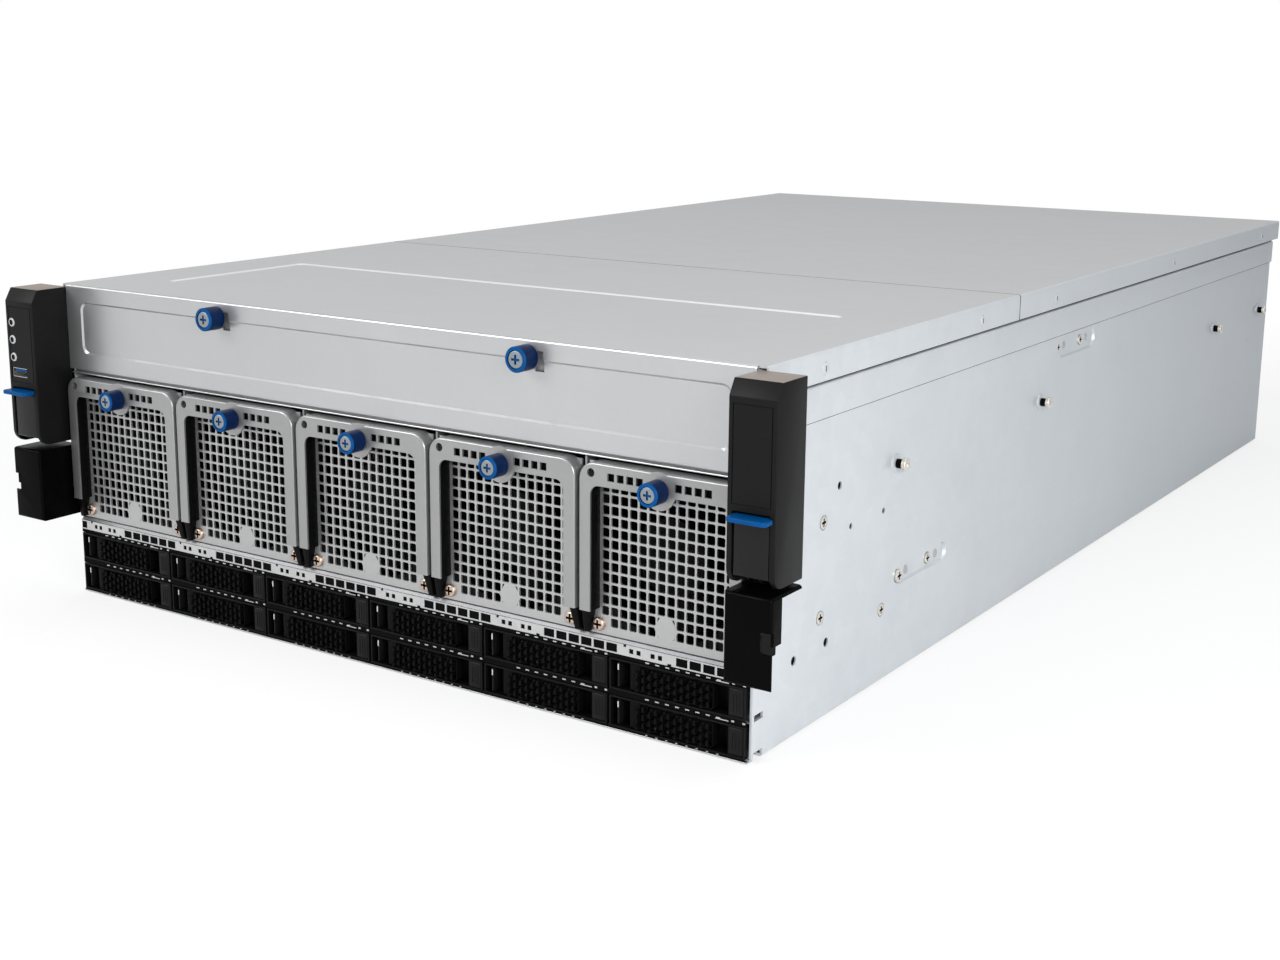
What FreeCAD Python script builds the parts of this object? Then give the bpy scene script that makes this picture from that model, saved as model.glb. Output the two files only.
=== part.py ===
import FreeCAD, Part
import os
from math import cos, pi, radians, sin, tan
from FreeCAD import Vector

# 4U rack server with accelerator cards, front fan modules and flat drive carriers.
# Frame: origin at the centre of the base, +X to the server's right as seen from the
# front, +Y to the rear, +Z up. All sizes are in millimetres.

# Overall sizes
RACK_WIDTH = 482.6
RACK_MARGIN = 23.0
CHASSIS_DEPTH = 804.5
CHASSIS_HEIGHT = 175.0
SHEET = 1.2
BEND = 0.8
FIT = 0.3
HOLE_SIDES = 8
CORNER_FLATS = 4

# Side walls: setback of the front edge, top return, outer band, cover hook slots
WALL_SETBACK = 2.5
WALL_RETURN = 11.0
BAND_DROP = 15.0
BAND_HEIGHT = 17.0
HOOK_PLAY = 0.4

# Side wall embosses as (distance from the front, length, height), holes and notches
# as (distance from the front, height over the base, sizes)
EMBOSS_DEPTH = 1.4
UPPER_RECESS = (378.0, 61.0, 14.0)
UPPER_RECESS_DROP = 39.4
LOWER_RECESS = (170.5, 60.5, 10.5)
LOWER_RECESS_HEIGHT = 50.0
WALL_HOLES = ((78.0, 108.6, 4.0), (68.9, 36.4, 4.4), (38.3, 36.2, 4.4))
WALL_NOTCHES = ((8.0, 19.7, 7.5, 3.0), (8.0, 1.8, 7.5, 4.4))

# Slide rail studs
STUD_DISTANCES = (136.3, 323.4, 660.5, 777.8)
STUD_HEIGHT = 108.0
STUD_HEAD = 6.6
STUD_NECK = 4.6
STUD_REACH = 6.2
STUD_HEAD_LENGTH = 2.0

# Top covers
COVER_OVERHANG = 4.7
COVER_SHEET = 1.0
FRONT_COVER_DEPTH = 273.2
COVER_SEAM = 0.8
COVER_SIDE_FLANGE = 13.6
FLANGE_CLEARANCE = 3.7
COVER_SLIDE = 12.0
HOOK = 5.0
HOOK_DROP = 8.0
FRONT_HOOKS = (51.6, 223.6)
REAR_HOOKS = (328.0, 541.5, 757.0)
FLANGE_PANEL_MARGINS = (10.8, 9.0)
FLANGE_PANEL_CORNER = 5.0
FLANGE_PANEL_DEPTH = 0.9
TOP_PANEL_MARGIN = 38.5
TOP_PANEL_LENGTH = 107.4
TOP_PANEL_CORNER = 4.0
TOP_PANEL_DISTANCE = 93.8
TOP_PANEL_DEPTH = 0.5

# Captive thumbscrews
COVER_SCREW_SPACING = 200.0
COVER_SCREW_DROP = 8.3
COVER_KNOB = 12.5
FAN_KNOB = 11.3
KNOB_LENGTH = 7.5
KNOB_SIDES = 12
SHANK = 4.0
SHANK_LENGTH = 6.0
FAN_SHANK_LENGTH = 3.0
KNOB_STANDOFF = 2.0

# Fan modules
FAN_COUNT = 5
MODULE_ROW_MARGIN = 2.1
MODULE_GAP = 2.3
DECK_CLEARANCE = 0.5
MODULE_HEADROOM = 0.8
MODULE_SHEET = 1.0
FRAME_LEAD = 4.8
MESH_SETBACK = 2.4
LEG_WIDTH = 6.2
LEG_RISE = 11.8
BAR_WIDTH = 10.3
FRAME_CORNER = 8.0
OPENING_CORNER = 4.5
KNOB_DROP = 8.1
KNOB_LUG = 8.6
LUG_SIDES = 16
MESH_BORDER = 8.3
MESH_COUNT = 4
MESH_OPEN_SHARE = 0.8
MESH_RISE = 12.5
FAN_MARGIN = 4.6
FAN_DEPTH = 38.0
DUCT_WALL = 1.5
DUCT_SIDES = 24
ROTOR_CLEARANCE = 1.2
HUB_DIAMETER = 36.0
HUB_SIDES = 15
HUB_SETBACK = 3.0
BLADE_COUNT = 5
BLADE_THICKNESS = 1.4
BLADE_ROOT = 22.0
BLADE_TIP = 30.0
BLADE_SET = 38.0
STATOR_LENGTH = 8.0
STATOR_STRUT = 3.0
FAN_TRAVEL = 80.0

# Front cage
CAGE_SHEET = 1.0
DECK_TOP = 43.0
STRIP_BOTTOM = 36.4
STRIP_SETBACK = 0.6
STRIP_WINDOW = (41.3, 78.3)
STRIP_WINDOW_HEIGHT = 4.2
STRIP_END = 1.5
BAY_HEADROOM = 1.5
FAN_BAY_DEPTH = 50.0
BULKHEAD_MARGIN = 5.0
CROSSMEMBER_SETBACK = 2.6
CROSSMEMBER_RETURN = 16.0
CROSSMEMBER_WINDOWS = 3
CROSSMEMBER_OPEN = (0.6, 0.65)

# Drive bays and carriers
BAY_COLUMNS = 6
BAY_ROWS = 2
COLUMN_MARGIN = 2.8
ROW_PITCH = 17.8
FIRST_ROW = 1.7
BAY_DIVIDER = 0.8
CARRIER_HEIGHT = 14.8
BEZEL_DEPTH = 9.0
BEZEL_RIM = 0.8
BEZEL_BACK = 1.0
RAIL_SHEET = 0.5
RAIL_LENGTH = 92.0
DRIVE_LENGTH = 100.4
DRIVE_HEIGHT = 9.5
DRIVE_PLAY = 1.05
RELEASE_PAD = 8.6
PAD_RECESS = 0.5
LEVER_END_MARGIN = 16.4
LEVER_PIVOT = 13.0
LEVER_PIVOT_DEPTH = 4.0
LEVER_DEPTH = 6.0
LEVER_PLAY = 0.4
HEX_RIB = 2.4
HEX_END_RIB = 1.3
HEX_EDGE = 0.45
HEX_COUNT = 3
CARRIER_TRAVEL = 115.0
BACKPLANE_DISTANCE = 113.0

# Rack ears
EAR_DROP = 1.7
EAR_HEIGHT = 85.7
EAR_LEAD = 22.8
EAR_REAR = 1.5
EAR_TOP_LEAD = 18.8
EAR_CHAMFER = 6.8
EAR_WALL = 2.0
EAR_ROUND = 7.0
EAR_FLANGE_LENGTH = 34.0
LATCH_RISE = 3.9
LATCH_HEIGHT = 27.3
LATCH_TAB = 3.0
LATCH_TAB_REACH = 7.2
LATCH_SHEET = 2.6
LATCH_CHEEK = 2.4
LATCH_PIVOT_LEAD = 15.4
LATCH_PIVOT_RISE = 7.5
LATCH_BOSS = 8.4
LATCH_ANGLE = 20.0
BUTTON_DROPS = (18.5, 28.0, 37.7)
BUTTON_OUTER_OFFSET = 4.7
BUTTON_DIAMETER = 4.8
BUTTON_FLANGE = 6.6
BUTTON_PROUD = 0.5
BUTTON_TRAVEL = 1.0
BUTTON_SIDES = 12
PORT_OFFSET = 8.8
PORT_DROP = 46.1
PORT_SIZE = (13.0, 5.6)
PORT_DEPTH = 12.0
LOWER_BRACKET_GAP = 2.6
LOWER_BRACKET_HEIGHT = 39.8
LOWER_BRACKET_LEAD = 24.0
LOWER_BRACKET_SHEET = 1.5
LOWER_FLANGE_LENGTH = 8.7
LOWER_FLANGE_RISE = 18.8
LOWER_NOTCH = (15.6, 25.0, 4.9)

# Rear panel and power supplies
REAR_PANEL_INSET = 1.0
SUPPLY_COUNT = 4
PORT_BAY = 134.2
SUPPLY_GAP = 2.1
SUPPLY_HEIGHT = 39.6
SUPPLY_LENGTH = 185.0
SUPPLY_FLOOR = 1.6
SUPPLY_WALL_GAP = 1.8
SUPPLY_PROUD = 1.0
SUPPLY_TRAVEL = 185.0
SUPPLY_FAN = 34.0
SUPPLY_FAN_INSET = 22.75
SUPPLY_RECESS = 3.0
INLET = (26.0, 20.0)
INLET_INSET = 14.75
INLET_DEPTH = 16.0
INLET_PIN = (2.0, 4.0, 11.0)
INLET_PIN_SPACING = 14.0
HANDLE_WIDTH = 36.0
HANDLE_REACH = 28.0
HANDLE_STRIP = (2.0, 8.0)
HANDLE_TOP_GAP = 1.2
PORT_ROW = ((106.3, 17.0, 14.0), (80.3, 14.0, 15.0), (46.3, 32.0, 13.0))
PORT_ROW_DEPTH = 20.0
NETWORK_SOCKET = (11.8, 8.6, 13.0)
CARD_WINDOW_MARGINS = (2.0, 4.0)
VENT_SLOT = (2.6, 40.0)
VENT_PITCH = 6.5
VENT_COUNT = 3

# Boards, processors, memory and cards
BOARD = 1.6
BOARD_HEIGHT = 7.0
BOARD_START = 150.0
BOARD_END = 600.0
BOARD_MARGIN = 6.3
STANDOFF = 6.0
SOCKET = (72.0, 78.0, 5.0)
SOCKET_DISTANCE = 370.0
HEATSINK = (78.0, 108.0, 25.0)
HEATSINK_BASE = 5.0
FIN = 1.0
FIN_COUNT = 9
MEMORY_MODULE = (3.2, 133.0, 30.0)
MEMORY_PITCH = 9.0
MEMORY_PER_SIDE = 4
MEMORY_OFFSET = 46.0
CARD_COUNT = 8
CARD_ROW_MARGIN = 26.3
CARD_GAP = 10.0
CARD_LENGTH = 267.0
CARD_HEADROOM = 13.0
CARD_BASE = 58.0
CARD_SHROUD = 1.0
CARD_SPREADER = 9.0
CARD_FINS = 3
CARD_EDGE = 6.0
CARD_EDGE_LENGTH = 86.0
RISER_HEIGHT = 46.0
CARD_SOCKET = (9.0, 90.0, 9.8)

# Values worked out from the sizes above: places of the shell and the covers
CHASSIS_WIDTH = RACK_WIDTH - 2 * RACK_MARGIN
HALF = CHASSIS_WIDTH / 2
INNER_HALF = HALF - SHEET
FRONT = -CHASSIS_DEPTH / 2
REAR = CHASSIS_DEPTH / 2
WALL_FRONT = FRONT + WALL_SETBACK
WALL_TOP = CHASSIS_HEIGHT - COVER_SHEET - FIT
BAND_HIGH = CHASSIS_HEIGHT - BAND_DROP
BAND_LOW = BAND_HIGH - BAND_HEIGHT
HOOK_HEIGHT = CHASSIS_HEIGHT - HOOK_DROP
COVER_HALF = HALF + COVER_OVERHANG
COVER_SCREW_HEIGHT = CHASSIS_HEIGHT - COVER_SCREW_DROP
REAR_COVER_START = FRONT + FRONT_COVER_DEPTH + COVER_SEAM

# Worked out: fan modules and the cage round them
MODULE_PITCH = (CHASSIS_WIDTH - MODULE_ROW_MARGIN) / FAN_COUNT
MODULE_WIDTH = MODULE_PITCH - MODULE_GAP
FAN_SIZE = MODULE_WIDTH - FAN_MARGIN
FAN_DUCT = FAN_SIZE - 2 * DUCT_WALL
MODULE_BOTTOM = DECK_TOP + DECK_CLEARANCE
MODULE_TOP = MODULE_BOTTOM + FAN_SIZE + MODULE_HEADROOM
LEG_BOTTOM = MODULE_BOTTOM + LEG_RISE
BAR_BOTTOM = MODULE_TOP - BAR_WIDTH
KNOB_HEIGHT = MODULE_TOP - KNOB_DROP
MESH_PITCH = (MODULE_WIDTH - 2 * MESH_BORDER) / MESH_COUNT
MESH_HOLE = MESH_PITCH * MESH_OPEN_SHARE
MESH_LOWEST = MODULE_BOTTOM + MESH_RISE
FAN_CENTRE = (MODULE_BOTTOM + MODULE_TOP) / 2
FRAME_FACE = FRONT - FRAME_LEAD
MESH_FACE = FRONT + MESH_SETBACK
FAN_FACE = MESH_FACE + MODULE_SHEET
FAN_BAY_TOP = MODULE_TOP + BAY_HEADROOM
BULKHEAD_OPENING = FAN_SIZE - 2 * BULKHEAD_MARGIN
FLANGE_BOTTOM = MODULE_TOP + FLANGE_CLEARANCE
FRAME_TOP = WALL_TOP - SHEET - 1
CAGE_FACE = FRONT + STRIP_SETBACK + CAGE_SHEET + BEND + FIT

# Worked out: drive carriers
COLUMN_PITCH = (CHASSIS_WIDTH - COLUMN_MARGIN) / BAY_COLUMNS
CARRIER_WIDTH = COLUMN_PITCH - BAY_DIVIDER - 2 * FIT
LEVER_END = CARRIER_WIDTH - LEVER_END_MARGIN
HEX_PITCH = (LEVER_END - LEVER_PIVOT - LEVER_DEPTH / 2 - HEX_END_RIB) / HEX_COUNT
HEX_WIDTH = HEX_PITCH - HEX_RIB
HEX_HEIGHT = CARRIER_HEIGHT - 2 * (BEZEL_RIM + LEVER_PLAY + HEX_EDGE)

# Worked out: rack ears
EAR_INNER = HALF + FIT
EAR_OUTER = RACK_WIDTH / 2
EAR_TOP = CHASSIS_HEIGHT - EAR_DROP
EAR_BOTTOM = EAR_TOP - EAR_HEIGHT
LATCH_BOTTOM = EAR_BOTTOM + LATCH_RISE
LATCH_TOP = LATCH_BOTTOM + LATCH_HEIGHT
LATCH_PIVOT_HEIGHT = EAR_BOTTOM + LATCH_PIVOT_RISE
BUTTON_HEIGHTS = [EAR_TOP - drop for drop in BUTTON_DROPS]
PORT_X = -EAR_OUTER + PORT_OFFSET
PORT_HEIGHT = EAR_TOP - PORT_DROP
LOWER_BRACKET_TOP = EAR_BOTTOM - LOWER_BRACKET_GAP
LOWER_BRACKET_BOTTOM = LOWER_BRACKET_TOP - LOWER_BRACKET_HEIGHT

# Worked out: supplies, boards and cards
SUPPLY_PITCH = (CHASSIS_WIDTH - PORT_BAY) / SUPPLY_COUNT
SUPPLY_WIDTH = SUPPLY_PITCH - SUPPLY_GAP
SUPPLY_FAN_OFFSET = SUPPLY_FAN_INSET - SUPPLY_WIDTH / 2
INLET_OFFSET = SUPPLY_WIDTH / 2 - INLET_INSET
BOARD_TOP = BOARD_HEIGHT + BOARD
BOARD_HALF_WIDTH = HALF - BOARD_MARGIN
SOCKET_OFFSET = BOARD_HALF_WIDTH / 2
CARD_PITCH = (CHASSIS_WIDTH - 2 * CARD_ROW_MARGIN) / CARD_COUNT
CARD_WIDTH = CARD_PITCH - CARD_GAP
CARD_HEIGHT = CHASSIS_HEIGHT - CARD_HEADROOM - CARD_BASE
CARD_WINDOW = (CARD_WIDTH - 2 * CARD_WINDOW_MARGINS[0], CARD_HEIGHT - 2 * CARD_WINDOW_MARGINS[1])


def box(x, y, z):
    """Block between the low and high values of each axis."""
    return Part.makeBox(x[1] - x[0], y[1] - y[0], z[1] - z[0], Vector(x[0], y[0], z[0]))


def span(centre, width):
    return (centre - width / 2, centre + width / 2)


def rod(axis, centre, reach, diameter):
    """Cylinder along an axis; centre holds the other two coordinates in X, Y, Z order."""
    low, high = reach
    base = list(centre)
    base.insert("xyz".index(axis), low)
    direction = {"x": Vector(1, 0, 0), "y": Vector(0, 1, 0), "z": Vector(0, 0, 1)}[axis]
    return Part.makeCylinder(diameter / 2, high - low, Vector(*base), direction)


def round_edges(shape, axis, radius, keep=None):
    """Fillet the straight edges along an axis, all or those whose middle passes keep."""
    index = "xyz".index(axis)
    chosen = []
    for edge in shape.Edges:
        if edge.Curve.TypeId != "Part::GeomLine":
            continue
        direction = edge.tangentAt(edge.FirstParameter)
        if abs(abs(direction[index]) - 1) > 1e-6:
            continue
        if keep is None or keep(edge.CenterOfMass):
            chosen.append(edge)
    return shape.makeFillet(radius, chosen)


def mirrored(shape):
    return shape.mirror(Vector(0, 0, 0), Vector(1, 0, 0))


def both_sides(shape):
    return [shape, mirrored(shape)]


def prism(axis, centre, reach, diameter, sides):
    """Regular prism along an axis, used where a small round part needs few faces."""
    index = "xyz".index(axis)
    corners = []
    for number in range(sides):
        angle = 2 * pi * (number + 0.5) / sides
        place = [centre[0] + diameter / 2 * cos(angle), centre[1] + diameter / 2 * sin(angle)]
        place.insert(index, reach[0])
        corners.append(Vector(*place))
    length = Vector(0, 0, 0)
    length[index] = reach[1] - reach[0]
    return Part.Face(Part.makePolygon(corners + corners[:1])).extrude(length)


def profile_x(points, reach):
    """Extrude a polygon given as (y, z) pairs between two X values."""
    corners = [Vector(reach[0], y, z) for y, z in points]
    return Part.Face(Part.makePolygon(corners + corners[:1])).extrude(Vector(reach[1] - reach[0], 0, 0))


def folded_path(points, cuts):
    """Corners of a polyline with a flat across each inner point, cut back by its length."""
    path = [points[0]]
    for before, corner, after, reach in zip(points, points[1:], points[2:], cuts):
        path.append(corner + (before - corner).normalize() * reach)
        path.append(corner + (after - corner).normalize() * reach)
    return path + [points[-1]]


def bent_sheet(points, thickness, length, bend=BEND):
    """Sheet of even thickness folded along a polyline, extruded by the length vector.

    Seen against the length vector, the sheet lies to the left of the path.
    """
    normal = Vector(length).normalize()
    lefts = []
    for before, after in zip(points, points[1:]):
        lefts.append(normal.cross((after - before).normalize()))
    offset = [points[0] + lefts[0] * thickness]
    cuts = []
    back_cuts = []
    for corner, left, next_left in zip(points[1:], lefts, lefts[1:]):
        offset.append(corner + (left + next_left) * (thickness / (1 + left.dot(next_left))))
        turns_left = left.cross(next_left).dot(normal) > 0
        slack = thickness * tan(pi / 8)
        cuts.append(bend + slack if turns_left else bend)
        back_cuts.append(bend if turns_left else bend + slack)
    offset.append(points[-1] + lefts[-1] * thickness)
    path = folded_path(points, cuts)
    back = folded_path(offset, back_cuts)
    outline = path + back[::-1] + path[:1]
    return Part.Face(Part.makePolygon(outline)).extrude(length)


def rounded_outline(centre, across, up, width, height, radius):
    """Closed rectangle in the plane of two unit vectors, its corners rounded in short flats."""
    corners = []
    for quarter in range(4):
        sign_w = 1 if quarter in (0, 3) else -1
        sign_h = 1 if quarter in (0, 1) else -1
        middle = centre + across * (sign_w * (width / 2 - radius)) + up * (sign_h * (height / 2 - radius))
        for step in range(CORNER_FLATS + 1):
            angle = (quarter + step / CORNER_FLATS) * pi / 2
            point = middle + across * (radius * cos(angle)) + up * (radius * sin(angle))
            if not corners or (point - corners[-1]).Length > 1e-6:
                corners.append(point)
    return Part.makePolygon(corners + corners[:1])


def embossed(sheet, centre, across, up, size, depth, thickness):
    """Press a flat recess into a sheet; size is width, height and corner radius."""
    width, height, radius = size
    inward = up.cross(across)
    mouth = rounded_outline(centre, across, up, width, height, radius)
    corner = centre - across * (width / 2 + thickness) - up * (height / 2 + thickness)
    corner = corner + inward * (thickness / 2)
    wide = across * (width + 2 * thickness)
    tall = up * (height + 2 * thickness)
    back = Part.makePolygon([corner, corner + wide, corner + wide + tall, corner + tall, corner])
    backing = Part.Face(back).extrude(inward * (depth + thickness / 2))
    recess = Part.Face(mouth).extrude(inward * depth)
    return sheet.fuse(backing).cut(recess)


def save(node, *solids):
    shape = solids[0] if len(solids) == 1 else Part.makeCompound(list(solids))
    shape.exportStep(os.path.join("parts", node + ".step"))


def module_x(index):
    return (index - (FAN_COUNT - 1) / 2) * MODULE_PITCH


def column_x(column):
    return (column - (BAY_COLUMNS - 1) / 2) * COLUMN_PITCH


def row_z(row):
    return FIRST_ROW + row * ROW_PITCH


def supply_x(index):
    return -HALF + SUPPLY_WALL_GAP + (index + 0.5) * SUPPLY_PITCH


def card_x(index):
    return (index - (CARD_COUNT - 1) / 2) * CARD_PITCH


# Chassis shell


def hook_slot(distance, travel):
    """Slot of a cover hook: along the cover's travel, then up and out of the wall."""
    width = HOOK + 2 * HOOK_PLAY
    start = FRONT + distance
    end = start + travel
    reach = (HALF - WALL_RETURN - SHEET, HALF + 2 * SHEET)
    along = box(reach, (start - width / 2, end + width / 2), span(HOOK_HEIGHT, width))
    return along.fuse(box(reach, span(end, width), (HOOK_HEIGHT, CHASSIS_HEIGHT)))


def chassis_shell():
    top = WALL_TOP
    inner = HALF - WALL_RETURN
    path = [
        Vector(-inner, WALL_FRONT, top),
        Vector(-HALF, WALL_FRONT, top),
        Vector(-HALF, WALL_FRONT, 0),
        Vector(HALF, WALL_FRONT, 0),
        Vector(HALF, WALL_FRONT, top),
        Vector(inner, WALL_FRONT, top),
    ]
    path.reverse()
    shell = bent_sheet(path, SHEET, Vector(0, REAR - WALL_FRONT, 0))
    for side in (1, -1):
        upper = UPPER_RECESS + (CHASSIS_HEIGHT - UPPER_RECESS_DROP,)
        lower = LOWER_RECESS + (LOWER_RECESS_HEIGHT,)
        for distance, width, tall, height in (upper, lower):
            centre = Vector(side * HALF, FRONT + distance, height)
            size = (width, tall, tall / 2)
            across = Vector(0, side, 0)
            shell = embossed(shell, centre, across, Vector(0, 0, 1), size, EMBOSS_DEPTH, SHEET)
    cutters = []
    reach = (HALF - 2 * SHEET, HALF + SHEET)
    for distance, height, diameter in WALL_HOLES:
        cutters += both_sides(prism("x", (FRONT + distance, height), reach, diameter, HOLE_SIDES))
    for distance, height, length, tall in WALL_NOTCHES:
        cutters += both_sides(box(reach, span(FRONT + distance, length), span(height, tall)))
    for distance in FRONT_HOOKS:
        cutters += both_sides(hook_slot(distance, 0))
    for distance in REAR_HOOKS:
        cutters += both_sides(hook_slot(distance, COVER_SLIDE))
    band = box((HALF, HALF + SHEET), (WALL_FRONT, REAR), (BAND_LOW, BAND_HIGH))
    shell = shell.fuse(both_sides(band)).cut(cutters)
    return shell.removeSplitter()


def rail_stud(side, distance):
    """Shoulder stud that a slide rail hooks on."""
    centre = (FRONT + distance, STUD_HEIGHT)
    head_start = HALF + STUD_REACH - STUD_HEAD_LENGTH
    neck = prism("x", centre, (HALF, head_start), STUD_NECK, HOLE_SIDES)
    stud = neck.fuse(rod("x", centre, (head_start, HALF + STUD_REACH), STUD_HEAD))
    return stud if side > 0 else mirrored(stud)


# Top covers


def cover_skin(start, length):
    """Top plate with its two side flanges."""
    low = CHASSIS_HEIGHT - COVER_SIDE_FLANGE
    path = [
        Vector(COVER_HALF, start, low),
        Vector(COVER_HALF, start, CHASSIS_HEIGHT),
        Vector(-COVER_HALF, start, CHASSIS_HEIGHT),
        Vector(-COVER_HALF, start, low),
    ]
    path.reverse()
    return bent_sheet(path, COVER_SHEET, Vector(0, length, 0))


def cover_hooks(distances):
    """Hook tabs riveted into the side flanges, which sit in the slots of the walls."""
    hooks = []
    reach = (INNER_HALF, COVER_HALF - COVER_SHEET / 2)
    for distance in distances:
        hooks += both_sides(box(reach, span(FRONT + distance, HOOK), span(HOOK_HEIGHT, HOOK)))
    return hooks


def front_top_cover():
    cover = cover_skin(FRONT, FRONT_COVER_DEPTH)
    low = FLANGE_BOTTOM
    flange = box((-HALF, HALF), (FRONT, FRONT + COVER_SHEET), (low, CHASSIS_HEIGHT))
    cover = cover.fuse(flange)
    on_nose = lambda p: p.y < FRONT + COVER_SHEET / 2 and p.z > CHASSIS_HEIGHT - COVER_SHEET / 2
    cover = round_edges(cover.removeSplitter(), "x", BEND, on_nose)
    across = Vector(1, 0, 0)
    side_margin, edge_margin = FLANGE_PANEL_MARGINS
    panel = (2 * (HALF - side_margin), CHASSIS_HEIGHT - low - 2 * edge_margin, FLANGE_PANEL_CORNER)
    panel_centre = Vector(0, FRONT, (CHASSIS_HEIGHT + low) / 2)
    cover = embossed(cover, panel_centre, across, Vector(0, 0, 1), panel, FLANGE_PANEL_DEPTH, COVER_SHEET)
    top_panel = (2 * (COVER_HALF - TOP_PANEL_MARGIN), TOP_PANEL_LENGTH, TOP_PANEL_CORNER)
    top_centre = Vector(0, FRONT + TOP_PANEL_DISTANCE, CHASSIS_HEIGHT)
    cover = embossed(cover, top_centre, across, Vector(0, 1, 0), top_panel, TOP_PANEL_DEPTH, COVER_SHEET)
    screw_holes = []
    for side in (-1, 1):
        centre = (side * COVER_SCREW_SPACING / 2, COVER_SCREW_HEIGHT)
        reach = (FRONT - 1, FRONT + CROSSMEMBER_SETBACK)
        screw_holes.append(prism("y", centre, reach, SHANK + 3 * FIT, HOLE_SIDES))
    notch_depth = (FRONT - 1, FRONT + EAR_REAR + FIT)
    reliefs = both_sides(box((HALF, COVER_HALF + 1), notch_depth, (low - 1, CHASSIS_HEIGHT + 1)))
    return cover.fuse(cover_hooks(FRONT_HOOKS)).cut(screw_holes + reliefs).removeSplitter()


def rear_top_cover():
    cover = cover_skin(REAR_COVER_START, REAR - REAR_COVER_START)
    return cover.fuse(cover_hooks(REAR_HOOKS)).removeSplitter()


def thumbscrew(x, height, face, knob, shank_length):
    """Captive thumbscrew along Y: knurled knob and shank."""
    nose = face - KNOB_STANDOFF - KNOB_LENGTH
    grip = prism("y", (x, height), (nose, face - FIT), knob, KNOB_SIDES)
    shank = prism("y", (x, height), (nose + 1, face + shank_length), SHANK, HOLE_SIDES)
    return grip.fuse(shank).removeSplitter()


# Fan modules


def quarter_turn(x, z, radius, start):
    """Points of a rounded corner in short flats round its centre, from an angle in degrees."""
    points = []
    for step in range(CORNER_FLATS + 1):
        angle = radians(start + 90 * step / CORNER_FLATS)
        points.append((x + radius * cos(angle), z + radius * sin(angle)))
    return points


def plate_y(points, reach):
    """Extrude a polygon given as (x, z) pairs between two Y values."""
    corners = [Vector(x, reach[0], z) for x, z in points]
    return Part.Face(Part.makePolygon(corners + corners[:1])).extrude(Vector(0, reach[1] - reach[0], 0))


def inverted_u():
    """Front frame outline: two legs under a bar, with a round lug under the knob."""
    half = MODULE_WIDTH / 2
    inner = half - LEG_WIDTH
    depth = (FRAME_FACE, FRAME_FACE + MODULE_SHEET)
    outline = [(half, LEG_BOTTOM)]
    outline += quarter_turn(half - FRAME_CORNER, MODULE_TOP - FRAME_CORNER, FRAME_CORNER, 0)
    outline += quarter_turn(FRAME_CORNER - half, MODULE_TOP - FRAME_CORNER, FRAME_CORNER, 90)
    outline += [(-half, LEG_BOTTOM), (-inner, LEG_BOTTOM)]
    corner_z = BAR_BOTTOM - OPENING_CORNER
    outline += quarter_turn(OPENING_CORNER - inner, corner_z, OPENING_CORNER, 90)[::-1]
    outline += quarter_turn(inner - OPENING_CORNER, corner_z, OPENING_CORNER, 0)[::-1]
    outline.append((inner, LEG_BOTTOM))
    lug = prism("y", (0, KNOB_HEIGHT), depth, 2 * KNOB_LUG, LUG_SIDES)
    lug = lug.common(box((-half, half), depth, (LEG_BOTTOM, MODULE_TOP)))
    return plate_y(outline, depth).fuse(lug)


def fan_bracket():
    """Folded steel tray: mesh plate, side flanges and front frame."""
    half = MODULE_WIDTH / 2
    inner = half - LEG_WIDTH
    low = MODULE_BOTTOM
    path = [
        Vector(half, FRAME_FACE, low),
        Vector(half, FAN_FACE, low),
        Vector(-half, FAN_FACE, low),
        Vector(-half, FRAME_FACE, low),
    ]
    flange_top = MODULE_TOP - FRAME_CORNER
    tray = bent_sheet(path, MODULE_SHEET, Vector(0, 0, flange_top - low), BEND / 2)
    outline = [(-half, low), (half, low)]
    outline += quarter_turn(half - FRAME_CORNER, flange_top, FRAME_CORNER, 0)
    outline += quarter_turn(FRAME_CORNER - half, flange_top, FRAME_CORNER, 90)
    plate = plate_y(outline, (MESH_FACE, FAN_FACE))
    crown = box((-inner, inner), (FRAME_FACE, FAN_FACE), (MODULE_TOP - MODULE_SHEET, MODULE_TOP))
    slope = [
        (FRAME_FACE - 1, low - 1),
        (MESH_FACE, low - 1),
        (MESH_FACE, low),
        (FRAME_FACE, LEG_BOTTOM),
        (FRAME_FACE - 1, LEG_BOTTOM),
    ]
    wedge = profile_x(slope, (-half - 1, half + 1))
    return tray.cut(wedge).fuse([plate, crown, inverted_u()]).removeSplitter()


def mesh_holes():
    """Grid of square holes; the corner ones are left out at the fan screws."""
    holes = []
    for column in range(MESH_COUNT):
        for row in range(MESH_COUNT):
            if row == 0 and column in (0, MESH_COUNT - 1):
                continue
            x = (column - (MESH_COUNT - 1) / 2) * MESH_PITCH
            z = MESH_LOWEST + row * MESH_PITCH
            holes.append(box(span(x, MESH_HOLE), span(MESH_FACE, 6), span(z, MESH_HOLE)))
    return holes


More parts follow.
